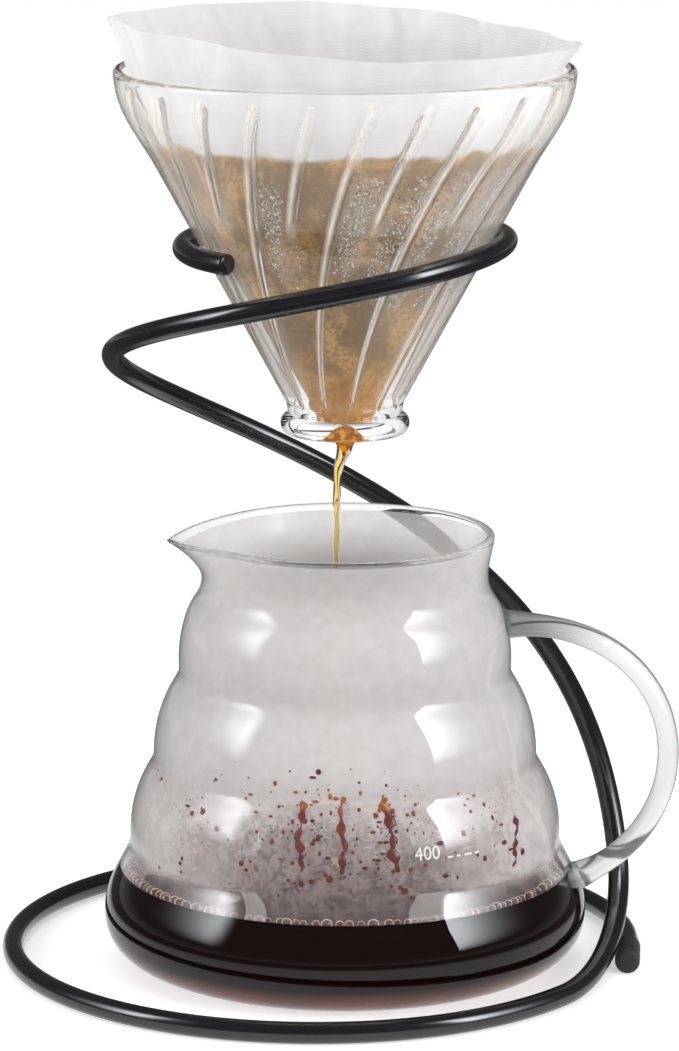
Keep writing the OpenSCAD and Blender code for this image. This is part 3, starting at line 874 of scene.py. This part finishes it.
def server_wall(server):
    """The server's outer wall, from the foot up to the rim."""
    low, middle, high = (np.array(p) for p in zip(server.groove_radii, server.groove_heights))
    throat = np.array([server.throat_radius, server.height - server.throat_height])
    shoulder = high + np.array([-1.8 * MM, (throat[1] - high[1]) * 0.62])
    foot = np.array([server.foot_radius, 0])
    belly = np.array([server.belly_radius, server.belly_height])
    mouth = np.array([server.mouth_radius, server.height - server.wall / 2])
    line = np.concatenate([
        bezier([foot, foot + [(belly[0] - foot[0]) * 0.7, 0], belly * [1, 0.4], belly], 30),
        bezier([belly, belly * [1, 1.5], low + np.array([1.6, -5]) * MM, low], 24, 1),
        swelling(low, middle, server.swell, 28),
        swelling(middle, high, server.swell, 28),
        swelling(high, shoulder, server.swell * 0.45, 20),
        bezier([shoulder, shoulder + np.array([-1.2, 4]) * MM, throat - np.array([0, 5]) * MM, throat],
               14, 1),
        bezier([throat, throat + np.array([0, 4]) * MM, mouth - np.array([0.6, 4]) * MM, mouth], 14, 1)])
    return soften(line, 0.8 * MM, 1.1 * MM)


def spouted(profile, angles, server):
    """Rows round the server, with the mouth pulled out into a spout at the left."""
    r, z = profile[:, 0, None], profile[:, 1, None]
    off = np.abs(angles[None] - math.pi) / server.spout_width
    pull = server.spout * np.clip(1 - off, 0, None) ** 1.4
    throat = server.height - server.throat_height
    up = np.clip((z - throat) / server.throat_height, 0, None) ** 1.6
    return polar(r + pull * up, angles[None], z - pull * up / 4)


# Operators


class POUROVER_OT_rod(bpy.types.Operator):
    """Bends the rod of the stand"""
    bl_idname = "pour_over.rod"
    bl_label = "Bent rod"

    def execute(self, context):
        rod = context.scene.pour_over.rod
        line = rod_line(rod)
        way = unit(line[-1] - line[-2])
        edge = 0.6 * MM
        turn = np.linspace(0, math.pi / 2, 5)[1:, None]
        line = np.concatenate([line, line[-1] + way * edge * np.sin(turn)])
        radius = np.full(len(line), rod.diameter / 2)
        radius[-4:] -= edge * (1 - np.cos(turn[:, 0]))
        mesh = mesh_of("rod", line, [], [(i, i + 1) for i in range(len(line) - 1)])
        mark(mesh, "bar_radius", radius)
        coat = rod_finish(rod)
        place(bake(mesh, sweep_tree(coat), Sides=28), "stand", coat, ["stand_rod"])
        return {"FINISHED"}


class POUROVER_OT_cap(bpy.types.Operator):
    """Pushes the cap on to the rod's lower end"""
    bl_idname = "pour_over.cap"
    bl_label = "End cap"

    def execute(self, context):
        rod = context.scene.pour_over.rod
        _, end, way = loose_end(rod)
        fit, hole = 0.05 * MM, 0.4 * MM
        outer, bore, mouth = rod.cap_diameter / 2, rod.diameter / 2 + fit, rod.cap_length - 0.2 * MM
        corner = bezier([(hole, 0), (outer - 0.6 * MM, 0), (outer, 0.2 * MM), (outer, 1.5 * MM)], 10)
        lip = half_round(np.array([outer, mouth]), np.array([bore, mouth]), 6)
        line = np.concatenate([corner, [[outer, rod.cap_length / 2], [outer, mouth]], lip,
                               [[bore, mouth], [bore, rod.cap_end], [hole, rod.cap_end]]])
        a = circle(40)[:, None]
        start = end + way * (rod.cap_end + fit)
        ring = np.array([-way[1], way[0], 0]) * np.cos(a) + np.array([0, 0, 1]) * np.sin(a)
        rows = [start - way * h + r * ring for r, h in line]
        place(loft("end_cap", rows), "stand", rubber_finish(), ["base_end_cap"], sharp=60)
        return {"FINISHED"}


class POUROVER_OT_dripper(bpy.types.Operator):
    """Makes the glass cone with its twisted ribs"""
    bl_idname = "pour_over.dripper"
    bl_label = "Glass dripper"

    def execute(self, context):
        settings = context.scene.pour_over
        d = settings.dripper
        outlet = outlet_height(settings)
        side = dripper_side(d)
        inside = inset(side, d.wall)
        lip_in = d.neck_radius - 0.6 * MM
        a = np.linspace(-math.pi / 2, math.pi / 2, 14)
        lip = np.stack([lip_in + np.cos(a) * (d.lip_radius - lip_in), d.lip_height / 2 * (1 + np.sin(a))], -1)
        neck = bezier([lip[-1], lip[-1] + [0.3 * MM, 1 * MM], side[0] - [0.3 * MM, 1.4 * MM], side[0]], 6, 1)
        bore = np.array([inside[0] * [1, 1 - t] for t in np.linspace(0, 0.94, 8)])
        foot = half_round(bore[-1], np.array([lip_in, 0]), 6)
        outer = np.concatenate([lip, neck, side[1:], half_round(side[-1], inside[-1], 10)])
        line = np.concatenate([outer, inside[::-1], bore[1:], foot * [1, 0.3]]) + [0, outlet]
        columns = circle(480)
        mesh = loft("dripper", turned(line, columns), wrap=True)
        inner = np.zeros(len(line))
        inner[len(outer):len(outer) + len(inside)] = 1
        mark(mesh, "inner_wall", np.repeat(inner, len(columns)))
        # The edge colour is painted shade at the glass's edges.
        clear = glass_finish("Clear dripper glass", 0.00012, 60, (0.93, 0.92, 0.89))
        made = bake(mesh, rib_tree(clear), **{
            "Ribs": float(d.rib_count), "Rib height": d.rib_height, "Rib turn": d.rib_turn,
            "First rib": d.rib_from, "Outlet height": outlet, "Height": d.height,
            "Bowl height": d.bowl_height, "Short rib": d.short_rib})
        place(made, "dripper", clear, ["dripper_glass"], sharp=80)
        return {"FINISHED"}


class POUROVER_OT_paper(bpy.types.Operator):
    """Folds the paper filter into the cone"""
    bl_idname = "pour_over.paper"
    bl_label = "Paper filter"

    def execute(self, context):
        settings = context.scene.pour_over
        paper, dripper = settings.paper, settings.dripper
        outlet = outlet_height(settings)
        line, level = paper_profile(paper, dripper)
        inner = np.stack([np.maximum(line[:, 0] - level, 0.6 * MM),
                          np.maximum(line[:, 1], paper.thickness - paper.tip_drop)], -1)
        columns = circle(360)
        rows = np.concatenate([paper_rows(line, columns, paper, dripper, paper.thickness),
                               paper_rows(inner, columns, paper, dripper, 0)[::-1]]) + [0, 0, outlet]
        place(loft("filter", rows), "filter", paper_finish(paper, outlet), ["paper_filter"])
        return {"FINISHED"}


class POUROVER_OT_slurry(bpy.types.Operator):
    """Fills the filter with wet grounds under a frothy surface"""
    bl_idname = "pour_over.slurry"
    bl_label = "Wet grounds"

    def execute(self, context):
        settings = context.scene.pour_over
        paper = settings.paper
        outlet = outlet_height(settings)
        line, level = paper_profile(paper, settings.dripper)
        wall = line[(line[:, 1] < paper.slurry) & (line[:, 1] > 2 * MM)] - [level + 0.25 * MM, 0]
        wall = wall[wall[:, 0] > 0.6 * MM]
        edge, top = wall[-1]
        a = circle(180)
        rows = list(turned(wall, a))
        for s in np.linspace(1, 0, 34)[1:-1]:
            lumps = 0.5 * np.sin(5 * a + 9 * s) * np.sin(17 * s + 1) + 0.3 * np.sin(11 * a - 14 * s)
            dip = 2.2 * (1 - s ** 2) - 0.8 * around(s, 0.93, 0.06)
            lumps = 0.55 * lumps * min(1, 3 * s) * min(1, 6 * (1 - s))
            rows.append(polar(edge * s, a, top - MM * (dip - lumps)))
        mesh = loft("slurry", np.array(rows) + [0, 0, outlet])
        place(mesh, "filter", grounds_finish(paper), ["coffee_slurry"], sharp=80)
        ring = np.stack([np.linspace(0.45, 0.97, 16) * edge,
                         outlet + top - 1.2 * MM + np.linspace(0, 1e-6, 16)], -1)
        carrier, front, _ = inner_patch("slurry_froth", ring, 0, 1, -180, 180, 181)
        clumps = np.sin(np.radians(3 * front)) * np.sin(np.radians(7 * front + 40)) > 0.1
        scatter(carrier, 0.25 + 0.75 * clumps, "filter", "wet_grounds", froth_finish(), "Froth in the filter",
                0.7, 11, Density=9e5, Apart=0.0011, Smallest=0.0004, Largest=0.0017, Uneven=0.1)
        return {"FINISHED"}


class POUROVER_OT_mist_and_painted_light(bpy.types.Operator):
    """Steams up the dripper's inner wall, and along its ribs lays a thicker film of painted highlight, with
    painted shade beside them
    """
    bl_idname = "pour_over.mist"
    bl_label = "Mist on the dripper"

    def execute(self, context):
        settings = context.scene.pour_over
        d = settings.dripper
        side = dripper_side(d)
        part = (side[:, 1] > 9 * MM) & (side[:, 1] < d.height - 2.5 * MM)
        line = film(side, part, d.wall - 0.13 * MM, d.wall - 0.03 * MM)
        columns = circle(480)
        a, z = columns[None], line[:, 1, None]
        turn = (a - d.rib_from - d.rib_turn * z / d.height) / math.tau * d.rib_count
        nearest = np.round(turn)
        begin = ease((z - (nearest % 2) * d.short_rib) / RIB_START)
        # Painted highlight: a cream cover along each rib stands in for the light the ribs catch; painted
        # shade: a brown line just beside each rib.
        rib = around(turn - nearest, -0.02, 0.048) * begin * (1 - 0.6 * ease((z - 71 * MM) / (5 * MM)))
        shade = around(turn - nearest, 0.095, 0.035) * begin * (1 - 0.75 * ease((z - 70 * MM) / (6 * MM)))
        dewy = dew_patches(np.degrees(a) + 90, z / MM)
        wet = 1 - ease((z - settings.paper.wet_line + 2 * MM) / (3 * MM))
        mesh = loft("dripper_mist", turned(line + [0, outlet_height(settings)], columns), wrap=True)
        mark(mesh, "mist_and_painted_light", np.clip(0.88 * rib + 0.42 * shade + 0.13 * dewy, 0, 0.92))
        mark(mesh, "shade", np.clip(1.2 * shade - rib, 0, 1))
        mark(mesh, "wet", np.broadcast_to(wet, rib.shape))
        place(mesh, "dripper", mist_and_painted_light_finish())
        return {"FINISHED"}


class POUROVER_OT_dew(bpy.types.Operator):
    """Scatters condensed drops inside the dripper's wall"""
    bl_idname = "pour_over.dew"
    bl_label = "Condensed drops"

    def execute(self, context):
        settings = context.scene.pour_over
        d = settings.dripper
        outlet = outlet_height(settings)
        wall = inset(dripper_side(d), d.wall + 0.1 * MM) + [0, outlet]
        carrier, front, z = inner_patch("dripper_dew", wall, outlet + 36 * MM, outlet + 72 * MM,
                                        -70, 110, 240)
        turn = front - np.degrees(d.rib_from + d.rib_turn * (z - outlet) / d.height)
        pitch = 360 / d.rib_count
        clear_of_rib = np.abs((turn / pitch + 0.5) % 1 - 0.5) > 0.22
        spread = np.clip(3.2 * dew_patches(front, (z - outlet) / MM) - 0.3, 0, 1) * clear_of_rib
        scatter(carrier, spread, "dripper", "dripper_clear", dew_finish(), "Condensed drops", 0.5, 5,
                Density=8e6, Apart=0.00056, Smallest=0.00018, Largest=0.00042, Uneven=0.25)
        return {"FINISHED"}


class POUROVER_OT_server(bpy.types.Operator):
    """Blows the rippled glass server with its spout"""
    bl_idname = "pour_over.server"
    bl_label = "Glass server"

    def execute(self, context):
        server = context.scene.pour_over.server
        outer = server_wall(server)
        inner = inset(outer, server.wall)
        inner = inner[inner[:, 1] > server.bottom + 0.6 * MM]
        floor = bezier([inner[0], inner[0] - [1.2 * MM, 0.5 * MM], [inner[0, 0] - 2 * MM, server.bottom],
                        [inner[0, 0] - 3.5 * MM, server.bottom]], 6, 1)
        line = np.concatenate([outer, half_round(outer[-1], inner[-1], 10), inner[::-1], floor])
        # The dark edge grey is painted shade at the glass's edges.
        clear = glass_finish("Clear server glass", 0.00005, 45, (0.45, 0.45, 0.46))
        mesh = loft("server", spouted(line, circle(216), server))
        place(mesh, "server", clear, ["server_glass"])
        return {"FINISHED"}


class POUROVER_OT_steam(bpy.types.Operator):
    """Steams up the server's inner wall above the coffee"""
    bl_idname = "pour_over.steam"
    bl_label = "Steamed-up wall"

    def execute(self, context):
        server = context.scene.pour_over.server
        outer = server_wall(server)
        part = (outer[:, 1] > server.coffee + 1.4 * MM) & (outer[:, 1] < server.height - 1.2 * MM)
        line = film(outer, part, server.wall - 0.08 * MM, server.wall + 0.04 * MM)
        mesh = loft("steam", spouted(line, circle(144), server), wrap=True)
        place(mesh, "server", steam_finish(server))
        return {"FINISHED"}


class POUROVER_OT_coffee(bpy.types.Operator):
    """Pours the coffee into the server, with its rim of bubbles"""
    bl_idname = "pour_over.coffee"
    bl_label = "Brewed coffee"

    def execute(self, context):
        server = context.scene.pour_over.server
        level, bottom = server.coffee, server.bottom
        wall = inset(server_wall(server), server.wall - 0.05 * MM)
        wall = wall[(wall[:, 1] > bottom + 0.4 * MM) & (wall[:, 1] < level + 0.7 * MM)]
        top, edge = wall[-1], wall[-1, 0]
        curl = bezier([top, top - [0.4 * MM, 0.5 * MM], [edge - 1.4 * MM, level],
                       [edge - 3 * MM, level]], 8, 1)
        floor = [[wall[0, 0] - 3.4 * MM, bottom - 0.05 * MM], [wall[0, 0] - 1.4 * MM, bottom]]
        line = np.concatenate([floor, wall, curl, [[edge * t, level] for t in (0.8, 0.5, 0.2)]])
        mesh = loft("coffee", turned(line, circle(216)))
        place(mesh, "server", coffee_finish(server), ["brewed_coffee"])
        ring = np.stack([np.linspace(edge - 2.5 * MM, edge - 1.5 * MM, 6),
                         level + np.linspace(0.2, 0.5, 6) * MM], -1)
        carrier, front, _ = inner_patch("coffee_bubbles", ring, 0, 1, -180, 180, 541)
        clumps = sum(around(front, a, width) for a, width in (
            (-12, 12), (6, 6), (20, 7), (40, 11), (64, 12), (-36, 9), (-62, 16), (-100, 16),
            (110, 20), (160, 16)))
        scatter(carrier, np.clip(2.4 * (clumps + 0.08) - 0.3, 0, 1), "server", "coffee", bubble_finish(),
                "Coffee bubbles", 0.85, 23,
                Density=2e6, Apart=0.0017, Smallest=0.0009, Largest=0.0015, Uneven=0.08)
        return {"FINISHED"}


class POUROVER_OT_splashes(bpy.types.Operator):
    """Splashes coffee on the server's inner wall, where some of it runs down"""
    bl_idname = "pour_over.splashes"
    bl_label = "Splashes"

    def execute(self, context):
        server = context.scene.pour_over.server
        brown = splash_finish()
        wall = inset(server_wall(server), server.wall - 0.08 * MM)
        carrier, front, z = inner_patch("splash_drops", wall, 29 * MM, 64 * MM, -85, 85, 240)
        level = z / MM
        near = sum(much * around(front, a, width) for much, a, width in (
            (1, -12, 7), (0.9, 2, 6), (0.8, 14, 7), (0.35, -38, 14), (0.3, 40, 16)))
        spread = 0.7 * around(level, 45, 9) * near + 0.16 * around(level, 33, 4) * around(front, 0, 35)
        spread = spread + 0.12 * around(level, 56, 8) * around(front, -5, 30)
        scatter(carrier, np.clip(spread, 0, 1), "server", "coffee", brown, "Splash drops", 0.35, 37,
                Density=9e5, Apart=0.0009, Smallest=0.00013, Largest=0.00075, Uneven=0.5)
        for number, (a, high, low, width, bend) in enumerate((
                (-13, 53.5, 37, 1.6, 1.0), (-1, 54.8, 36.5, 1.5, 0.4), (11.5, 55, 36.5, 2.1, 2.6),
                (55, 45, 33, 1.5, -4.0))):
            t = np.linspace(0, 1, 90)[:, None]
            run = (high + (low - high) * t) * MM
            lean = a + bend * t + 0.45 * np.sin(9 * t + 2 * number) + 0.25 * np.sin(21 * t + number)
            beads = 0.45 + 0.2 * np.sin(13 * t + 2.1 * number) + 0.22 * np.sin(31 * t + 1.3 * number)
            taper = np.sqrt(np.clip(np.minimum(t, 1 - t) * 12, 0.002, 1))
            half = width * MM * np.clip(beads, 0.1, None) * taper
            r = np.interp(run, wall[:, 1], wall[:, 0])
            k = circle(10)[None]
            rows = polar(r + 0.28 * MM * np.cos(k), from_front(lean) + half * np.sin(k) / r, run)
            place(loft(f"splash_run_{number + 1}", rows), "server", brown)
        return {"FINISHED"}


class POUROVER_OT_scale(bpy.types.Operator):
    """Prints the measuring mark on the server"""
    bl_idname = "pour_over.scale"
    bl_label = "Measuring mark"

    def execute(self, context):
        outer = server_wall(context.scene.pour_over.server)
        text = bpy.data.curves.new("scale_text", "FONT")
        text.body = "400"
        text.size = 4.6 * MM
        text.align_x = "CENTER"
        text.extrude = 0.03 * MM
        holder = bpy.data.objects.new("scale_text", text)
        context.scene.collection.objects.link(holder)
        mesh = bpy.data.meshes.new_from_object(holder.evaluated_get(context.evaluated_depsgraph_get()))
        bpy.data.objects.remove(holder)
        bpy.data.curves.remove(text)
        points = np.array([v.co for v in mesh.vertices])
        faces = [list(p.vertices) for p in mesh.polygons]
        bpy.data.meshes.remove(mesh)
        for left, width in ((5.4, 1.6), (8.0, 1.0), (10.2, 2.2), (13.4, 1.2)):
            start = len(points)
            dash = [(left + i * width, j * 0.45 - 0.2, k * 0.03)
                    for k in (-1, 1) for j in (0, 1) for i in (0, 1)]
            points = np.concatenate([points, np.array(dash) * MM])
            faces += [[start + i for i in f] for f in
                      ((0, 2, 3, 1), (4, 5, 7, 6), (0, 1, 5, 4), (1, 3, 7, 5), (3, 2, 6, 7), (2, 0, 4, 6))]
        foot, front, proud = 39.6 * MM, 22, 0.04 * MM
        z = foot + points[:, 1]
        r = np.interp(z, outer[:, 1], outer[:, 0]) + proud + points[:, 2]
        mesh = mesh_of("scale_mark", polar(r, from_front(front) + points[:, 0] / r, z), faces)
        place(mesh, "server", print_finish(), sharp=30)
        return {"FINISHED"}


class POUROVER_OT_handle(bpy.types.Operator):
    """Melts the glass handle on to the server"""
    bl_idname = "pour_over.handle"
    bl_label = "Glass handle"

    def execute(self, context):
        server = context.scene.pour_over.server
        outer = server_wall(server)
        top, low = server.handle_top, server.handle_low
        ends = np.interp([top, low], outer[:, 1], outer[:, 0]) - server.weld
        reach = (server.handle_reach - sum(ends) / 8) * 4 / 3
        line = bezier([(ends[0], 0, top), (reach - 3 * MM, 0, top + 2 * MM),
                       (reach + 3 * MM, 0, low + 14 * MM), (ends[1], 0, low)], 110)
        way = unit(np.gradient(line, axis=0))
        out = np.stack([way[:, 2], 0 * way[:, 0], -way[:, 0]], -1)
        near = np.minimum(np.arange(len(line)), np.arange(len(line))[::-1]) / 11
        spread = 1 + 0.35 * np.clip(1 - near, 0, None) ** 2
        k = circle(28)[:, None]
        flat = np.array([0, 1, 0]) * np.sin(k) * server.handle_width / 2
        rows = [line[i] + spread[i] * (out[i] * np.cos(k) * server.handle_thickness / 2 + flat)
                for i in range(len(line))]
        # The edge grey is painted shade at the glass's edges, and the last share greys the arm near the joint
        # as painted shade.
        clear = glass_finish("Clear handle glass", 0.0001, 55, (0.3, 0.3, 0.31), 0.15, 0.91, 0.92, 0.85)
        place(loft("handle", rows), "server", clear, ["server_handle"])
        return {"FINISHED"}


class POUROVER_OT_stream(bpy.types.Operator):
    """Lets the coffee run from the filter's tip into the server"""
    bl_idname = "pour_over.stream"
    bl_label = "Running coffee"

    def execute(self, context):
        settings = context.scene.pour_over
        tip = outlet_height(settings) - settings.paper.tip_drop
        level = settings.server.coffee
        from_tip = np.array([2.2, 0.8, -0.6, -2, -4, -8, -18, -40, -70])
        z = np.append(tip + MM * from_tip, [level + 3 * MM, level])
        r = MM * np.array([2.1, 2.0, 1.75, 1.45, 1.15, 1.0, 0.85, 0.76, 0.7, 0.7, 1.3])
        x = MM * np.array([0, 0, -0.4, -1.0, -1.7, -2.0, -2.1, -2.3, -2.5, -2.6, -2.6])
        line = soften(np.stack([z, r, x], -1), 0.5 * MM, 0.9 * MM)
        z, r, x = (line[:, k, None] for k in range(3))
        a = circle(24)[None]
        swirl = 1 + 0.1 * np.sin(2 * a + 700 * z) * ease((tip - z) / 0.004)
        rows = polar(r * swirl, a, z)
        rows[..., 0] += x
        made = place(loft("stream", rows), "filter", amber_finish(settings.paper.amber))
        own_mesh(made)
        return {"FINISHED"}


class POUROVER_OT_stage(bpy.types.Operator):
    """Sets up the floor, the soft lamps, the light panels and the camera"""
    bl_idname = "pour_over.stage"
    bl_label = "Stage"

    def execute(self, context):
        scene = context.scene
        scene.view_settings.view_transform = "Standard"
        self.floor()
        self.world(scene)
        for name, place_at, size, power in (("Right lamp", (0.92, -0.62, 0.5), 0.75, 9.6),
                                            ("Left lamp", (-1.0, -0.48, 0.5), 0.75, 9.0),
                                            ("Top lamp", (0.0, 0.1, 1.3), 1.2, 6.0)):
            lamp = bpy.data.lights.new(name, "AREA")
            lamp.shape, lamp.size, lamp.energy = "SQUARE", size, power
            holder = bpy.data.objects.new(name, lamp)
            holder.location = place_at
            aim = Vector((0, 0, 0.12)) - Vector(place_at)
            holder.rotation_euler = aim.to_track_quat("-Z", "Y").to_euler()
            holder.visible_glossy = False
            scene.collection.objects.link(holder)
        hump = np.sin(math.pi * np.linspace(0, 1, 13))
        fall = np.linspace(1, 0, 25)
        self.panel("Right panel", 54, 122, 15.0, fall ** 2.6, hump ** 0.6)
        self.panel("Left panel", -56, -126, 15.0, fall ** 2.2 * ease((1 - fall) / 0.2), hump ** 0.8)
        camera = bpy.data.cameras.new("Camera")
        camera.lens, camera.sensor_width, camera.clip_start = 169.6, 36.0, 0.05
        holder = bpy.data.objects.new("Camera", camera)
        holder.location = (-0.001389, -1.2231, 0.3706)
        holder.rotation_euler = (math.radians(78.1), 0, 0)
        scene.collection.objects.link(holder)
        scene.camera = holder
        return {"FINISHED"}

    def floor(self):
        """A white table that keeps its shadow, turns to plain white further out and is dimmer in mirrors."""
        rings = polar(np.array([0.05, 0.2, 0.5, 1.0, 2.5])[:, None], circle(64)[None], 0.0)
        mesh = loft("floor", np.concatenate([rings, rings[::-1] - [0, 0, 0.002]]))
        f = Finish("White table", (0.8, 0.8, 0.8), 0.9, Specular_IOR_Level=0.0)
        light = f.add("ShaderNodeLightPath").outputs
        camera, glass = light["Is Camera Ray"], light["Is Transmission Ray"]
        reach = f.add("ShaderNodeVectorMath", {0: f.where()}, operation="LENGTH").outputs["Value"]
        lit = f.add("ShaderNodeAddShader", {0: f.shader.outputs[0], 1: f.shine(f.times(camera, 0.5))})
        far = f.times(camera, f.ramp(reach, 0.16, 0.5))
        shown = f.blend(far, lit.outputs[0], f.shine(1.0))
        through = f.ramp(reach, 0.06, 0.24, 0.5, 1)
        glint = f.ramp(reach, 0.12, 0.2, 0.9, 0.08)
        mirrored = f.shine(f.ramp(glass, 0, 1, glint, through))
        f.show(f.blend(f.larger(light["Is Glossy Ray"], glass), shown, mirrored))
        add_object(mesh, f.material)

    def world(self, scene):
        """White to the camera, and by height in mirrors and through glass."""
        scene.world = bpy.data.worlds.new("Studio")
        scene.world.use_nodes = True
        n = Nodes(scene.world.node_tree)
        up = n.split(n.add("ShaderNodeTexCoord").outputs["Generated"])[2]
        light = n.add("ShaderNodeLightPath").outputs
        glass = light["Is Transmission Ray"]
        through = n.ramp(up, 0.4, 0.1, 0.6, 1.0)
        mirrored = n.ramp(up, 0.14, 0.0, 0.1, 0.3)
        indirect = n.larger(light["Is Glossy Ray"], glass)
        strength = n.ramp(indirect, 0, 1, 0.36, n.ramp(glass, 0, 1, mirrored, through))
        background = n.tree.nodes["Background"].inputs
        n.plug(n.larger(strength, light["Is Camera Ray"]), background["Strength"])
        n.plug((1, 1, 1), background["Color"])

    def panel(self, name, inner, outer, strength, across, up):
        """A raised light panel that only reflections and glass show, with its brightness across and up."""
        reach, foot, cool_white = 1.2, 0.06, (0.94, 0.965, 1)
        a = from_front(np.linspace(inner, outer, len(across)))
        rise = np.radians(np.linspace(5, 50, len(up)))
        rows = [polar(reach * math.cos(e), a, foot + reach * math.sin(e)) for e in rise]
        mesh = open_sheet(name, np.stack(rows))
        mark(mesh, "fade", np.outer(up, across))
        f = Finish(name, (1, 1, 1), 1.0)
        f.tree.nodes.remove(f.shader)
        f.show(f.shine(f.ramp(f.attribute("fade"), 0, 1, 0.1, strength), cool_white))
        obj = add_object(mesh, f.material)
        obj.visible_camera = obj.visible_diffuse = obj.visible_shadow = False


class POUROVER_PT_pieces(bpy.types.Panel):
    """The pieces of the set"""
    bl_idname = "POUROVER_PT_pieces"
    bl_label = "Pour-over set"
    bl_space_type = "VIEW_3D"
    bl_region_type = "UI"
    bl_category = "Pour-over"

    def draw(self, context):
        for operator in OPERATORS:
            self.layout.operator(operator.bl_idname)


OPERATORS = (POUROVER_OT_stage, POUROVER_OT_rod, POUROVER_OT_cap, POUROVER_OT_dripper, POUROVER_OT_paper,
             POUROVER_OT_slurry, POUROVER_OT_mist_and_painted_light, POUROVER_OT_dew, POUROVER_OT_server, POUROVER_OT_steam,
             POUROVER_OT_coffee, POUROVER_OT_splashes, POUROVER_OT_scale, POUROVER_OT_handle,
             POUROVER_OT_stream)
CLASSES = (RodSizes, DripperSizes, PaperSizes, ServerSizes, PourOver, *OPERATORS, POUROVER_PT_pieces)


def register():
    for cls in CLASSES:
        bpy.utils.register_class(cls)
    bpy.types.Scene.pour_over = PointerProperty(type=PourOver)


def unregister():
    del bpy.types.Scene.pour_over
    for cls in reversed(CLASSES):
        bpy.utils.unregister_class(cls)


def main():
    register()
    for operator in OPERATORS:
        getattr(bpy.ops.pour_over, operator.bl_idname.split(".")[1])()


if __name__ == "__main__":
    main()
